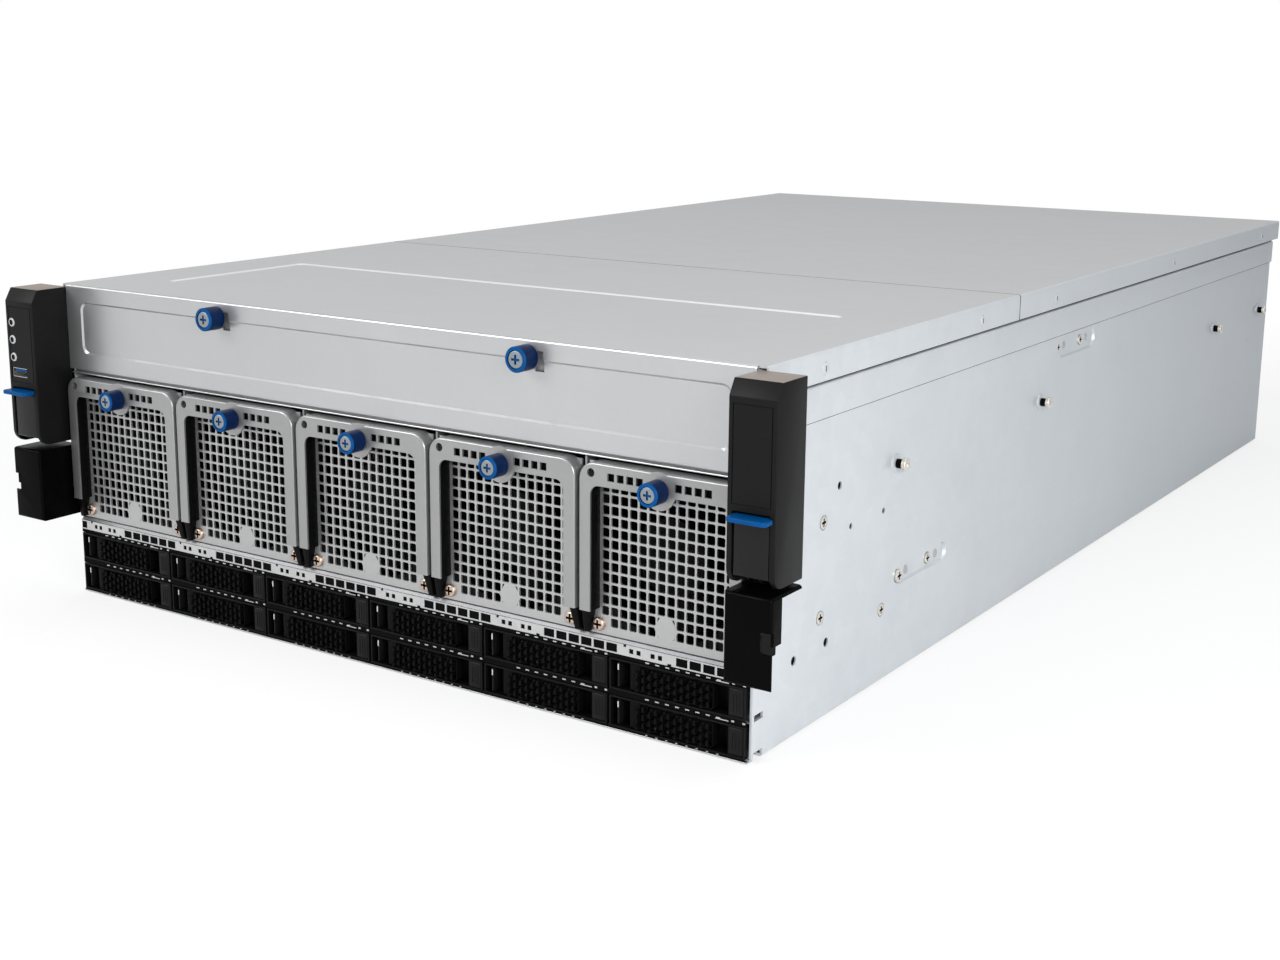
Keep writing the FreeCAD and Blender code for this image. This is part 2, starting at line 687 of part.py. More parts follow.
def fan_housing():
    """Square axial fan frame with its duct, stator and struts."""
    half = FAN_SIZE / 2
    rear = FAN_FACE + FAN_DEPTH
    frame = box((-half, half), (FAN_FACE, rear), span(FAN_CENTRE, FAN_SIZE))
    centre = (0, FAN_CENTRE)
    frame = frame.cut(prism("y", centre, (FAN_FACE - 1, rear + 1), FAN_DUCT, DUCT_SIDES))
    stator = prism("y", centre, (rear - STATOR_LENGTH, rear), HUB_DIAMETER, HUB_SIDES)
    struts = []
    reach = FAN_DUCT / 2 + 1
    for turn in range(2):
        strut = box((-reach, reach), (rear - STATOR_STRUT, rear), span(FAN_CENTRE, STATOR_STRUT))
        strut.rotate(Vector(0, 0, FAN_CENTRE), Vector(0, 1, 0), 90 * turn)
        struts.append(strut)
    return frame.fuse([stator] + struts).removeSplitter()


def fan_module(index):
    bracket = fan_bracket().cut(mesh_holes())
    bracket = bracket.cut(prism("y", (0, KNOB_HEIGHT), span(FRAME_FACE, 4), SHANK + 3 * FIT, HOLE_SIDES))
    shift = Vector(module_x(index), 0, 0)
    return [bracket.translated(shift), fan_housing().translated(shift)]


def blade(number):
    """One pitched fan blade that widens towards its tip."""
    root = HUB_DIAMETER / 2 - 2
    tip = FAN_DUCT / 2 - ROTOR_CLEARANCE
    edge = [
        Vector(root, -BLADE_ROOT / 2, 0),
        Vector(tip * cos(radians(BLADE_SET / 2)), -BLADE_TIP / 2, 0),
        Vector(tip - 1, 0, 0),
        Vector(tip * cos(radians(BLADE_SET / 2)), BLADE_TIP / 2, 0),
        Vector(root, BLADE_ROOT / 2, 0),
    ]
    plate = Part.Face(Part.makePolygon(edge + edge[:1])).extrude(Vector(0, 0, BLADE_THICKNESS))
    plate.rotate(Vector(0, 0, 0), Vector(1, 0, 0), 90 - BLADE_SET)
    middle = FAN_FACE + (FAN_DEPTH - STATOR_LENGTH + HUB_SETBACK) / 2
    plate.translate(Vector(0, middle, FAN_CENTRE))
    plate.rotate(Vector(0, 0, FAN_CENTRE), Vector(0, 1, 0), 360 / BLADE_COUNT * number)
    return plate


def fan_rotor(index):
    """Rotor with pitched blades round a hub whose flats match the blade roots."""
    reach = (FAN_FACE + HUB_SETBACK, FAN_FACE + FAN_DEPTH - STATOR_LENGTH - FIT)
    hub = prism("y", (0, FAN_CENTRE), reach, HUB_DIAMETER, HUB_SIDES)
    hub.rotate(Vector(0, 0, FAN_CENTRE), Vector(0, 1, 0), 180 / HUB_SIDES)
    blades = [blade(number) for number in range(BLADE_COUNT)]
    return hub.fuse(blades).removeSplitter().translated(Vector(module_x(index), 0, 0))


# Front cage


def deck():
    """Deck between the drive tier and the card tier; its front edge is a window strip."""
    face = FRONT + STRIP_SETBACK
    half = INNER_HALF - FIT
    path = [
        Vector(-half, REAR - REAR_PANEL_INSET - SHEET - FIT, DECK_TOP),
        Vector(-half, face, DECK_TOP),
        Vector(-half, face, STRIP_BOTTOM),
    ]
    sheet = bent_sheet(path, CAGE_SHEET, Vector(2 * half, 0, 0))
    windows = []
    start, end = STRIP_WINDOW
    tall = span((STRIP_BOTTOM + DECK_TOP - CAGE_SHEET) / 2, STRIP_WINDOW_HEIGHT)
    for column in range(BAY_COLUMNS):
        left = column_x(column) - COLUMN_PITCH / 2
        right = min(left + end, half - STRIP_END)
        windows.append(box((left + start, right), span(face, 4), tall))
    return sheet.cut(windows)


def drive_cage():
    """Upright dividers crossed by the shelf of the upper row."""
    depth = (CAGE_FACE, FRONT + BACKPLANE_DISTANCE - FIT)
    tall = (SHEET, DECK_TOP - CAGE_SHEET)
    walls = []
    for number in range(1, BAY_COLUMNS):
        x = column_x(number) - COLUMN_PITCH / 2
        walls.append(box(span(x, BAY_DIVIDER), depth, tall))
    shelf_middle = FIRST_ROW + (ROW_PITCH + CARRIER_HEIGHT) / 2
    half = INNER_HALF - FIT
    shelf = box((-half, half), depth, span(shelf_middle, BAY_DIVIDER))
    return shelf.fuse(walls)


def fan_bay():
    """Dividers, top plate, bulkhead and crossmember round the five fan modules."""
    half = INNER_HALF - FIT
    back = FRONT + FAN_BAY_DEPTH
    web = FRONT + CROSSMEMBER_SETBACK
    path = [
        Vector(-half, back, FAN_BAY_TOP - CAGE_SHEET),
        Vector(-half, web, FAN_BAY_TOP - CAGE_SHEET),
        Vector(-half, web, FRAME_TOP),
        Vector(-half, web + CROSSMEMBER_RETURN, FRAME_TOP),
    ]
    path.reverse()
    frame = bent_sheet(path, CAGE_SHEET, Vector(2 * half, 0, 0))
    pieces = [box((-half, half), (back, back + CAGE_SHEET), (DECK_TOP, FRAME_TOP))]
    for number in range(1, FAN_COUNT):
        x = module_x(number) - MODULE_PITCH / 2
        depth = (CAGE_FACE, back)
        pieces.append(box(span(x, CAGE_SHEET), depth, (DECK_TOP, FAN_BAY_TOP - CAGE_SHEET)))
    cutters = []
    for index in range(FAN_COUNT):
        wide = span(module_x(index), BULKHEAD_OPENING)
        cutters.append(box(wide, (back - 1, back + 2 * CAGE_SHEET), span(FAN_CENTRE, BULKHEAD_OPENING)))
    for side in (-1, 1):
        wide = span(side * COVER_SCREW_SPACING / 2, SHANK + 2 * FIT)
        depth = (web - 1, FRONT + SHANK_LENGTH + FIT)
        cutters.append(box(wide, depth, (COVER_SCREW_HEIGHT - SHANK / 2 - FIT, FRAME_TOP + 1)))
    window_pitch = 2 * half / CROSSMEMBER_WINDOWS
    for number in range(CROSSMEMBER_WINDOWS):
        x = -half + (number + 0.5) * window_pitch
        middle = (FAN_BAY_TOP + FRAME_TOP) / 2 - CAGE_SHEET
        wide = window_pitch * CROSSMEMBER_OPEN[0]
        tall = (FRAME_TOP - FAN_BAY_TOP) * CROSSMEMBER_OPEN[1]
        window = box(span(x, wide), (back - 1, back + 2 * CAGE_SHEET), span(middle, tall))
        cutters.append(window)
    return frame.fuse(pieces).cut(cutters).removeSplitter()


# Drive carriers


def carrier_tray():
    """Bezel with its recess, release pad and vented back, and two side rails."""
    width = CARRIER_WIDTH
    height = CARRIER_HEIGHT
    back = BEZEL_DEPTH - BEZEL_BACK
    rim = (BEZEL_RIM, height - BEZEL_RIM)
    bezel = box((0, width), (0, BEZEL_DEPTH), (0, height))
    pocket = box((BEZEL_RIM, width - RELEASE_PAD), (-1, back), rim)
    pad_face = box((width - RELEASE_PAD, width - BEZEL_RIM), (-1, PAD_RECESS), rim)
    vent_tall = (BEZEL_RIM + 2, height - BEZEL_RIM - 2)
    vent = box((LEVER_PIVOT + LEVER_DEPTH, LEVER_END), (back - 1, BEZEL_DEPTH + 1), vent_tall)
    rails = []
    for low in (0, width - RAIL_SHEET):
        rails.append(box((low, low + RAIL_SHEET), (BEZEL_DEPTH, BEZEL_DEPTH + RAIL_LENGTH), (1, height - 2)))
    return bezel.cut([pocket, pad_face, vent]).fuse(rails).removeSplitter()


def drive_carrier(column, row):
    side = DRIVE_PLAY / 2
    floor = (CARRIER_HEIGHT - DRIVE_HEIGHT) / 2
    start = BEZEL_DEPTH + FIT
    drive = box((side, CARRIER_WIDTH - side), (start, start + DRIVE_LENGTH), (floor, floor + DRIVE_HEIGHT))
    shift = carrier_origin(column, row)
    return [carrier_tray().translated(shift), drive.translated(shift)]


def carrier_origin(column, row):
    return Vector(column_x(column) - CARRIER_WIDTH / 2, FRONT, row_z(row))


def honeycomb_cell(x, z, wide, tall, depth):
    """Six-sided cutter with upright flats, its points at the top and the bottom."""
    half, rise = wide / 2, tall / 2
    corners = [
        Vector(x, depth[0], z + rise),
        Vector(x + half, depth[0], z + rise / 2),
        Vector(x + half, depth[0], z - rise / 2),
        Vector(x, depth[0], z - rise),
        Vector(x - half, depth[0], z - rise / 2),
        Vector(x - half, depth[0], z + rise / 2),
    ]
    return Part.Face(Part.makePolygon(corners + corners[:1])).extrude(Vector(0, depth[1] - depth[0], 0))


def carrier_lever(column, row):
    """Pull lever with honeycomb openings; its round end turns beside the recess."""
    half = LEVER_DEPTH / 2
    tall = (BEZEL_RIM + LEVER_PLAY, CARRIER_HEIGHT - BEZEL_RIM - LEVER_PLAY)
    body = box((LEVER_PIVOT, LEVER_END), (LEVER_PIVOT_DEPTH - half, LEVER_PIVOT_DEPTH + half), tall)
    knuckle = prism("z", (LEVER_PIVOT, LEVER_PIVOT_DEPTH), tall, LEVER_DEPTH / cos(pi / 8), HOLE_SIDES)
    cutters = []
    middle = (LEVER_PIVOT + half + LEVER_END) / 2
    for number in range(HEX_COUNT):
        x = middle + (number - (HEX_COUNT - 1) / 2) * HEX_PITCH
        cutters.append(honeycomb_cell(x, CARRIER_HEIGHT / 2, HEX_WIDTH, HEX_HEIGHT, (-1, BEZEL_DEPTH)))
    lever = body.fuse(knuckle).cut(cutters).removeSplitter()
    return lever.translated(carrier_origin(column, row))


# Rack ears


def ear_outline(inset):
    """Side profile of the ear housing, shrunk by a wall for its hollow."""
    lead = FRONT - EAR_LEAD + inset
    return (
        (FRONT + EAR_REAR, EAR_BOTTOM + inset),
        (FRONT + EAR_REAR, EAR_TOP - inset),
        (FRONT - EAR_TOP_LEAD + inset / 2, EAR_TOP - inset),
        (lead, EAR_TOP - EAR_CHAMFER - inset / 2),
        (lead, EAR_BOTTOM + inset),
    )


def ear_housing():
    """Moulded ear housing, right side: hollow, with a pocket for the latch."""
    outer = profile_x(ear_outline(0), (EAR_INNER, EAR_OUTER))
    lead = FRONT - EAR_LEAD
    outer = round_edges(outer, "x", EAR_ROUND, lambda p: p.y < lead + 1 and p.z < EAR_BOTTOM + 1)
    hollow_reach = (EAR_INNER + EAR_WALL, EAR_OUTER - EAR_WALL)
    hollow = profile_x(ear_outline(EAR_WALL), hollow_reach)
    pocket_reach = (EAR_INNER + LATCH_CHEEK, EAR_OUTER - LATCH_CHEEK)
    pocket_back = FRONT - LATCH_PIVOT_LEAD + LATCH_BOSS / 2 + 2
    pocket = box(pocket_reach, (lead - 1, pocket_back), (EAR_BOTTOM - 1, LATCH_TOP + FIT))
    mouth = box(pocket_reach, (lead - 1, lead + LATCH_SHEET), (EAR_BOTTOM, LATCH_TOP + FIT))
    return outer.cut([hollow, pocket, mouth]).removeSplitter()


def ear_plate():
    """Steel angle behind the housing, screwed to the side wall."""
    low = EAR_BOTTOM + EAR_WALL
    path = [
        Vector(EAR_OUTER - EAR_WALL, FRONT + EAR_REAR, low),
        Vector(EAR_INNER, FRONT + EAR_REAR, low),
        Vector(EAR_INNER, FRONT + EAR_REAR + EAR_FLANGE_LENGTH, low),
    ]
    path.reverse()
    return bent_sheet(path, LOWER_BRACKET_SHEET, Vector(0, 0, BAND_LOW - FIT - low))


def lower_bracket():
    """Bent steel bracket under the ear: inner, front and outer flanges and a top."""
    lead = FRONT - LOWER_BRACKET_LEAD
    low = LOWER_BRACKET_BOTTOM
    tall = LOWER_BRACKET_TOP - low
    path = [
        Vector(EAR_INNER, FRONT + EAR_REAR, low),
        Vector(EAR_INNER, lead, low),
        Vector(EAR_OUTER, lead, low),
        Vector(EAR_OUTER, lead + LOWER_FLANGE_LENGTH, low),
    ]
    body = bent_sheet(path, LOWER_BRACKET_SHEET, Vector(0, 0, tall))
    lid_depth = (lead + BEND, FRONT + EAR_REAR)
    lid_height = (LOWER_BRACKET_TOP - LOWER_BRACKET_SHEET, LOWER_BRACKET_TOP)
    lid = box((EAR_INNER, EAR_OUTER - LOWER_BRACKET_SHEET), lid_depth, lid_height)
    below_flange = box(
        (EAR_OUTER - LOWER_BRACKET_SHEET - BEND, EAR_OUTER + 1),
        (lead + LOWER_BRACKET_SHEET, FRONT),
        (low - 1, low + LOWER_FLANGE_RISE),
    )
    notch_low, notch_high, notch_width = LOWER_NOTCH
    notch = box(
        (EAR_OUTER - notch_width, EAR_OUTER + 1),
        (lead - 1, lead + LOWER_BRACKET_SHEET),
        (low + notch_low, low + notch_high),
    )
    wall_flange = box(
        (EAR_INNER, EAR_INNER + LOWER_BRACKET_SHEET),
        (FRONT + EAR_REAR, FRONT + EAR_REAR + EAR_FLANGE_LENGTH / 2),
        (low, EAR_BOTTOM - FIT),
    )
    return body.fuse([lid, wall_flange]).cut([below_flange, notch]).removeSplitter()


def left_ear_cutters():
    """Button holes and the port opening of the left ear."""
    lead = FRONT - EAR_LEAD
    cutters = []
    for height in BUTTON_HEIGHTS:
        centre = (-EAR_OUTER + BUTTON_OUTER_OFFSET, height)
        reach = (lead - 1, lead + 2 * EAR_WALL)
        cutters.append(prism("y", centre, reach, BUTTON_DIAMETER + 2 * FIT, BUTTON_SIDES))
    wide, tall = PORT_SIZE
    cutters.append(box(span(PORT_X, wide), (lead - 1, lead + 2 * EAR_WALL), span(PORT_HEIGHT, tall)))
    return cutters


def port_shell():
    """Steel shell of the front port with its contact tongue."""
    lead = FRONT - EAR_LEAD
    wide, tall = PORT_SIZE
    x = PORT_X
    height = PORT_HEIGHT
    shell = box(span(x, wide - 0.2), (lead + 0.4, lead + PORT_DEPTH), span(height, tall - 0.2))
    hollow = box(span(x, wide - 1), (lead, lead + PORT_DEPTH - 1), span(height, tall - 1))
    tongue_height = height + tall / 4
    tongue = box(span(x, wide - 3), (lead + 1.5, lead + PORT_DEPTH - 1), span(tongue_height, tall / 4))
    shelf_height = height - tall / 2
    shelf = box(span(x, wide + 2), (lead + EAR_WALL, lead + PORT_DEPTH), (shelf_height - 1.2, shelf_height))
    return shell.cut(hollow).fuse([tongue, shelf])


def rack_ears():
    right = [ear_housing(), ear_plate(), lower_bracket()]
    left_housing = mirrored(ear_housing()).cut(left_ear_cutters())
    port = port_shell()
    port_mount = box(
        (-EAR_OUTER + EAR_WALL, -EAR_INNER - EAR_WALL),
        (FRONT - EAR_LEAD + PORT_DEPTH, FRONT - EAR_LEAD + PORT_DEPTH + EAR_WALL),
        span(PORT_HEIGHT, 3 * PORT_SIZE[1]),
    )
    left = [left_housing.fuse([port, port_mount]), mirrored(ear_plate()), mirrored(lower_bracket())]
    return right + left


def ear_latch(side):
    """Sprung flap with finger tab; its boss turns between the cheeks of the ear."""
    lead = FRONT - EAR_LEAD + 0.5
    pivot = (FRONT - LATCH_PIVOT_LEAD, LATCH_PIVOT_HEIGHT)
    flap_half = (EAR_INNER + LATCH_CHEEK + FIT, EAR_OUTER - LATCH_CHEEK - FIT)
    flap = box(flap_half, (lead, lead + LATCH_SHEET), (LATCH_BOTTOM, LATCH_TOP))
    tab = box(flap_half, (lead - LATCH_TAB_REACH, lead + LATCH_SHEET), (LATCH_TOP - LATCH_TAB, LATCH_TOP))
    boss = prism("x", pivot, flap_half, LATCH_BOSS, BUTTON_SIDES)
    web = box(flap_half, (lead, pivot[0]), span(LATCH_PIVOT_HEIGHT, LATCH_BOSS * 0.7))
    latch = flap.fuse([tab, boss, web]).removeSplitter()
    return latch if side > 0 else mirrored(latch)


def ear_button(height):
    """Round button held behind the housing front by its flange."""
    lead = FRONT - EAR_LEAD
    centre = (-EAR_OUTER + BUTTON_OUTER_OFFSET, height)
    cap = prism("y", centre, (lead - BUTTON_PROUD, lead + EAR_WALL + FIT), BUTTON_DIAMETER, BUTTON_SIDES)
    flange_reach = (-EAR_OUTER + EAR_WALL + FIT, centre[0] + BUTTON_FLANGE / 2)
    flange_depth = (lead + EAR_WALL + FIT, lead + EAR_WALL + FIT + 1)
    flange = box(flange_reach, flange_depth, span(height, BUTTON_FLANGE))
    return cap.fuse(flange).removeSplitter()


# Rear panel and power supplies


def rear_panel():
    half = INNER_HALF - FIT
    outer = REAR - REAR_PANEL_INSET
    inner = outer - SHEET
    panel = box((-half, half), (inner, outer), (SHEET + BEND, FRAME_TOP))
    lip = box((-half, half), (inner - WALL_RETURN, inner), (FRAME_TOP - SHEET, FRAME_TOP))
    cutters = []
    reach = (inner - 1, outer + 1)
    bay_half = (SUPPLY_COUNT * SUPPLY_PITCH) / 2
    bay_middle = supply_x(0) + (SUPPLY_COUNT - 1) * SUPPLY_PITCH / 2
    bay_top = SUPPLY_FLOOR + SUPPLY_HEIGHT + FIT
    cutters.append(box((bay_middle - bay_half, bay_middle + bay_half), reach, (SUPPLY_FLOOR - FIT, bay_top)))
    for inset, wide, tall in PORT_ROW:
        x = HALF - inset
        port_low = BOARD_TOP - FIT
        cutters.append(box(span(x, wide + 2 * FIT), reach, (port_low, port_low + tall + 2 * FIT)))
    wide, tall = CARD_WINDOW
    middle = CARD_BASE + CARD_HEIGHT / 2
    for index in range(CARD_COUNT):
        cutters.append(box(span(card_x(index), wide), reach, span(middle, tall)))
    slot_wide, slot_tall = VENT_SLOT
    for side in (-1, 1):
        for number in range(VENT_COUNT):
            x = side * (half - (number + 1) * VENT_PITCH)
            for height in (middle - slot_tall * 0.6, middle + slot_tall * 0.6):
                cutters.append(box(span(x, slot_wide), reach, span(height, slot_tall)))
    return panel.fuse(lip).cut(cutters).removeSplitter()


def power_supply(index):
    """Hot-swap supply: casing, fan grille recess, inlet with pins and pull handle."""
    rear = REAR + SUPPLY_PROUD
    half = SUPPLY_WIDTH / 2
    middle = SUPPLY_FLOOR + SUPPLY_HEIGHT / 2
    case = box((-half, half), (rear - SUPPLY_LENGTH, rear), (SUPPLY_FLOOR, SUPPLY_FLOOR + SUPPLY_HEIGHT))
    fan_centre = (SUPPLY_FAN_OFFSET, middle)
    fan_recess = prism("y", fan_centre, (rear - SUPPLY_RECESS, rear + 1), SUPPLY_FAN, 2 * HOLE_SIDES)
    wide, tall = INLET
    inlet = box(span(INLET_OFFSET, wide), (rear - INLET_DEPTH, rear + 1), span(middle, tall))
    pin_wide, pin_tall, pin_length = INLET_PIN
    pins = []
    for number in (-1, 0, 1):
        x = INLET_OFFSET + number * INLET_PIN_SPACING / 2
        height = middle + (2 if number == 0 else -2)
        depth = (rear - INLET_DEPTH - 1, rear - INLET_DEPTH + pin_length)
        pins.append(box(span(x, pin_wide), depth, span(height, pin_tall)))
    strip, strip_width = HANDLE_STRIP
    left = SUPPLY_FAN_OFFSET - HANDLE_WIDTH / 2
    low = SUPPLY_FLOOR + SUPPLY_HEIGHT - HANDLE_TOP_GAP - strip_width
    path = [
        Vector(left, rear, low),
        Vector(left, rear + HANDLE_REACH, low),
        Vector(left + HANDLE_WIDTH, rear + HANDLE_REACH, low),
        Vector(left + HANDLE_WIDTH, rear, low),
    ]
    handle = bent_sheet(path[::-1], strip, Vector(0, 0, strip_width), strip)
    supply = case.cut([fan_recess, inlet]).fuse([handle] + pins).removeSplitter()
    return supply.translated(Vector(supply_x(index), 0, 0))


# Boards, processors, memory and cards


def mainboard():
    """Board in the lower tier with a tongue to the rear ports, on standoffs."""
    half = BOARD_HALF_WIDTH
    end = FRONT + BOARD_END
    tongue_left = HALF - PORT_ROW[0][0] - PORT_ROW[0][1]
    board = box((-half, half), (FRONT + BOARD_START, end), (BOARD_HEIGHT, BOARD_TOP))
    tongue_end = REAR - REAR_PANEL_INSET - SHEET - FIT
    tongue = box((tongue_left, half), (end, tongue_end), (BOARD_HEIGHT, BOARD_TOP))
    board = board.fuse(tongue)
    posts = []
    for x in (-half + STANDOFF, half - STANDOFF):
        for y in (FRONT + BOARD_START + STANDOFF, end - STANDOFF):
            posts.append(prism("z", (x, y), (SHEET, BOARD_HEIGHT), STANDOFF, 6))
    return board.fuse(posts).removeSplitter()


def processor_sockets():
    wide, deep, tall = SOCKET
    sockets = []
    for side in (-1, 1):
        x = span(side * SOCKET_OFFSET, wide)
        sockets.append(box(x, span(FRONT + SOCKET_DISTANCE, deep), (BOARD_TOP, BOARD_TOP + tall)))
    return sockets


def memory_modules():
    wide, deep, tall = MEMORY_MODULE
    modules = []
    for side in (-1, 1):
        for bank in (-1, 1):
            for number in range(MEMORY_PER_SIDE):
                x = side * SOCKET_OFFSET + bank * (MEMORY_OFFSET + number * MEMORY_PITCH)
                depth = span(FRONT + SOCKET_DISTANCE, deep)
                modules.append(box(span(x, wide), depth, (BOARD_TOP, BOARD_TOP + tall)))
    return modules


def rear_ports():
    """Port shells at the rear edge; the first is a network socket with its cavity."""
    ports = []
    face = REAR
    for number, (inset, wide, tall) in enumerate(PORT_ROW):
        x = HALF - inset
        shell = box(span(x, wide), (face - PORT_ROW_DEPTH, face), (BOARD_TOP, BOARD_TOP + tall))
        if number == 0:
            hole_wide, hole_tall, hole_deep = NETWORK_SOCKET
            middle = BOARD_TOP + tall / 2
            shell = shell.cut(box(span(x, hole_wide), (face - hole_deep, face + 1), span(middle, hole_tall)))
        ports.append(shell)
    return ports


def upright_boards():
    """Drive backplane and power distribution board, each standing on the floor."""
    half = BOARD_HALF_WIDTH
    tall = (SHEET, DECK_TOP - CAGE_SHEET - FIT)
    start = FRONT + BACKPLANE_DISTANCE
    backplane = box((-half, half), (start, start + BOARD), tall)
    supply_front = REAR + SUPPLY_PROUD - SUPPLY_LENGTH
    left = supply_x(0) - SUPPLY_WIDTH / 2
    right = supply_x(SUPPLY_COUNT - 1) + SUPPLY_WIDTH / 2
    power = box((left, right), (supply_front - FIT - BOARD, supply_front - FIT), tall)
    return [backplane, power]


def riser_board():
    """Board under the cards with one edge socket for each card."""
    half = BOARD_HALF_WIDTH - 10
    end = REAR - 2 * WALL_RETURN
    start = REAR - CARD_LENGTH - 2 * WALL_RETURN
    board = box((-half, half), (start, end), (RISER_HEIGHT, RISER_HEIGHT + BOARD))
    posts = []
    for x in (-half + STANDOFF, half - STANDOFF):
        for y in (start + STANDOFF, end - STANDOFF):
            posts.append(prism("z", (x, y), (DECK_TOP, RISER_HEIGHT), STANDOFF, 6))
    wide, deep, tall = CARD_SOCKET
    low = RISER_HEIGHT + BOARD
    sockets = []
    for index in range(CARD_COUNT):
        x = card_board_x(index)
        middle = card_edge_middle()
        block = box(span(x, wide), span(middle, deep), (low, low + tall))
        groove = box(
            span(x, BOARD + 2 * FIT),
            span(middle, CARD_EDGE_LENGTH + 2 * FIT),
            (CARD_BASE - CARD_EDGE - FIT, low + tall + 1),
        )
        sockets.append(block.cut(groove))
    return [board.fuse(posts + sockets).removeSplitter()]


def card_board_x(index):
    return card_x(index) - CARD_WIDTH / 2 + 2 * BOARD


def card_edge_middle():
    return REAR - 4 * WALL_RETURN - CARD_EDGE_LENGTH


def accelerator_card(index):
    """Double-width passive card: board with edge contacts, cooler and bracket."""
    x = card_x(index)
    end = REAR - REAR_PANEL_INSET - SHEET
    start = end - CARD_LENGTH
    tall = (CARD_BASE, CARD_BASE + CARD_HEIGHT)
    board = box(span(card_board_x(index), BOARD), (start, end - SHEET), tall)
    edge = box(
        span(card_board_x(index), BOARD),
        span(card_edge_middle(), CARD_EDGE_LENGTH),
        (CARD_BASE - CARD_EDGE, CARD_BASE + 1),
    )
    cooler_left = card_board_x(index) + BOARD / 2
    right = x + CARD_WIDTH / 2
    low = CARD_BASE + 2
    high = tall[1] - 1
    cooler = box((cooler_left, right), (start + 2, end - SHEET), (low, high))
    pitch = (high - low - CARD_SHROUD) / (CARD_FINS + 1)
    for number in range(CARD_FINS + 1):
        floor = low + CARD_SHROUD + number * pitch
        inside = (cooler_left + CARD_SPREADER, right - CARD_SHROUD)
        cooler = cooler.cut(box(inside, (start, end), (floor, floor + pitch - CARD_SHROUD)))
    bracket = box(span(x, CARD_WIDTH), (end - SHEET, end), tall)
    wide, high = CARD_WINDOW
    grille = []
    for side in (-1, 1):
        height = CARD_BASE + CARD_HEIGHT / 2 + side * high / 4
        grille.append(box(span(x + 1, wide - 8), (end - 6, end + 1), span(height, high / 2.4)))
    return board.fuse([edge, cooler, bracket]).cut(grille).removeSplitter()


def heatsink(side):
    """Base plate with upright fins along the air flow."""
    wide, deep, tall = HEATSINK
    low = BOARD_TOP + SOCKET[2]
    depth = span(FRONT + SOCKET_DISTANCE, deep)
    x = side * SOCKET_OFFSET
    base = box(span(x, wide), depth, (low, low + HEATSINK_BASE))
    pitch = (wide - FIN) / (FIN_COUNT - 1)
    fins = []
    for number in range(FIN_COUNT):
        centre = x - wide / 2 + FIN / 2 + number * pitch
        fins.append(box(span(centre, FIN), depth, (low + HEATSINK_BASE, low + tall)))
    return base.fuse(fins).removeSplitter()


def main():
    os.makedirs("parts", exist_ok=True)
    save("chassis_shell", chassis_shell())
    studs = []
    for distance in STUD_DISTANCES:
        studs += [rail_stud(1, distance), rail_stud(-1, distance)]
    save("rail_studs", *studs)
    save("front_cage", deck(), drive_cage(), fan_bay())
    save("rear_panel", rear_panel(), *rear_ports())
    save("rack_ears", *rack_ears())
    boards = [mainboard()] + processor_sockets() + memory_modules()
    save("motherboard", *(boards + upright_boards() + riser_board()))
    save("cpu_heatsinks", heatsink(-1), heatsink(1))
    save("gpu_cards", *[accelerator_card(index) for index in range(CARD_COUNT)])
    save("front_top_cover", front_top_cover())
    save("rear_top_cover", rear_top_cover())
    for side, name in ((-1, "left"), (1, "right")):
        x = side * COVER_SCREW_SPACING / 2
        screw = thumbscrew(x, COVER_SCREW_HEIGHT, FRONT, COVER_KNOB, SHANK_LENGTH)
        save("cover_thumbscrew_" + name, screw)
        save("ear_latch_" + name, ear_latch(side))
    for height, name in zip(BUTTON_HEIGHTS, ("power", "reset", "locate")):
        save(name + "_button", ear_button(height))
    for index in range(FAN_COUNT):
        number = str(index + 1)
        save("fan_module_" + number, *fan_module(index))
        save("fan_rotor_" + number, fan_rotor(index))
        screw = thumbscrew(module_x(index), KNOB_HEIGHT, FRAME_FACE, FAN_KNOB, FAN_SHANK_LENGTH)
        save("fan_thumbscrew_" + number, screw)
    number = 1
    for row in range(BAY_ROWS):
        for column in range(BAY_COLUMNS):
            save("drive_carrier_" + str(number), *drive_carrier(column, row))
            save("carrier_lever_" + str(number), carrier_lever(column, row))
            number += 1
    for index in range(SUPPLY_COUNT):
        save("power_supply_" + str(index + 1), power_supply(index))


main()
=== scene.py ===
from math import cos, pi, radians, sin, sqrt

import bpy
from mathutils import Matrix, Vector


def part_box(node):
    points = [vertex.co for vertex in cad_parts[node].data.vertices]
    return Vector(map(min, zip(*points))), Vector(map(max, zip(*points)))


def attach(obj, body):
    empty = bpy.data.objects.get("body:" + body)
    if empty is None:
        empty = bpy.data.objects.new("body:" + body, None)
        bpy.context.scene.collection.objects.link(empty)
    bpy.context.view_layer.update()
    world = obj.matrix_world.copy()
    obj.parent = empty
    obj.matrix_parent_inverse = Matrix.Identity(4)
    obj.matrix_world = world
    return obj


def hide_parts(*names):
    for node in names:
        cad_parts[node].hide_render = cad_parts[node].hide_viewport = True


# 4U rack server with fan modules and drive carriers in front, dressed over its CAD frame.
# Lengths are in millimetres up to the helpers, which turn them into Blender's metres.

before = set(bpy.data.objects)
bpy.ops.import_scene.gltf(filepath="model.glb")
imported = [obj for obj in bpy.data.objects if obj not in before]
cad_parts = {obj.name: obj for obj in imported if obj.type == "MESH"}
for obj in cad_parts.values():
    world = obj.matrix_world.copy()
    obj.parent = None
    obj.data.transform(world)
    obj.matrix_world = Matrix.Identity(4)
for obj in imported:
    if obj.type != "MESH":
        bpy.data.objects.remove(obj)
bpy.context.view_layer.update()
MM = 0.001


def node_box(node):
    """Low and high corner of a CAD node in millimetres."""
    low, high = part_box(node)
    return low / MM, high / MM


# Places taken from the frame

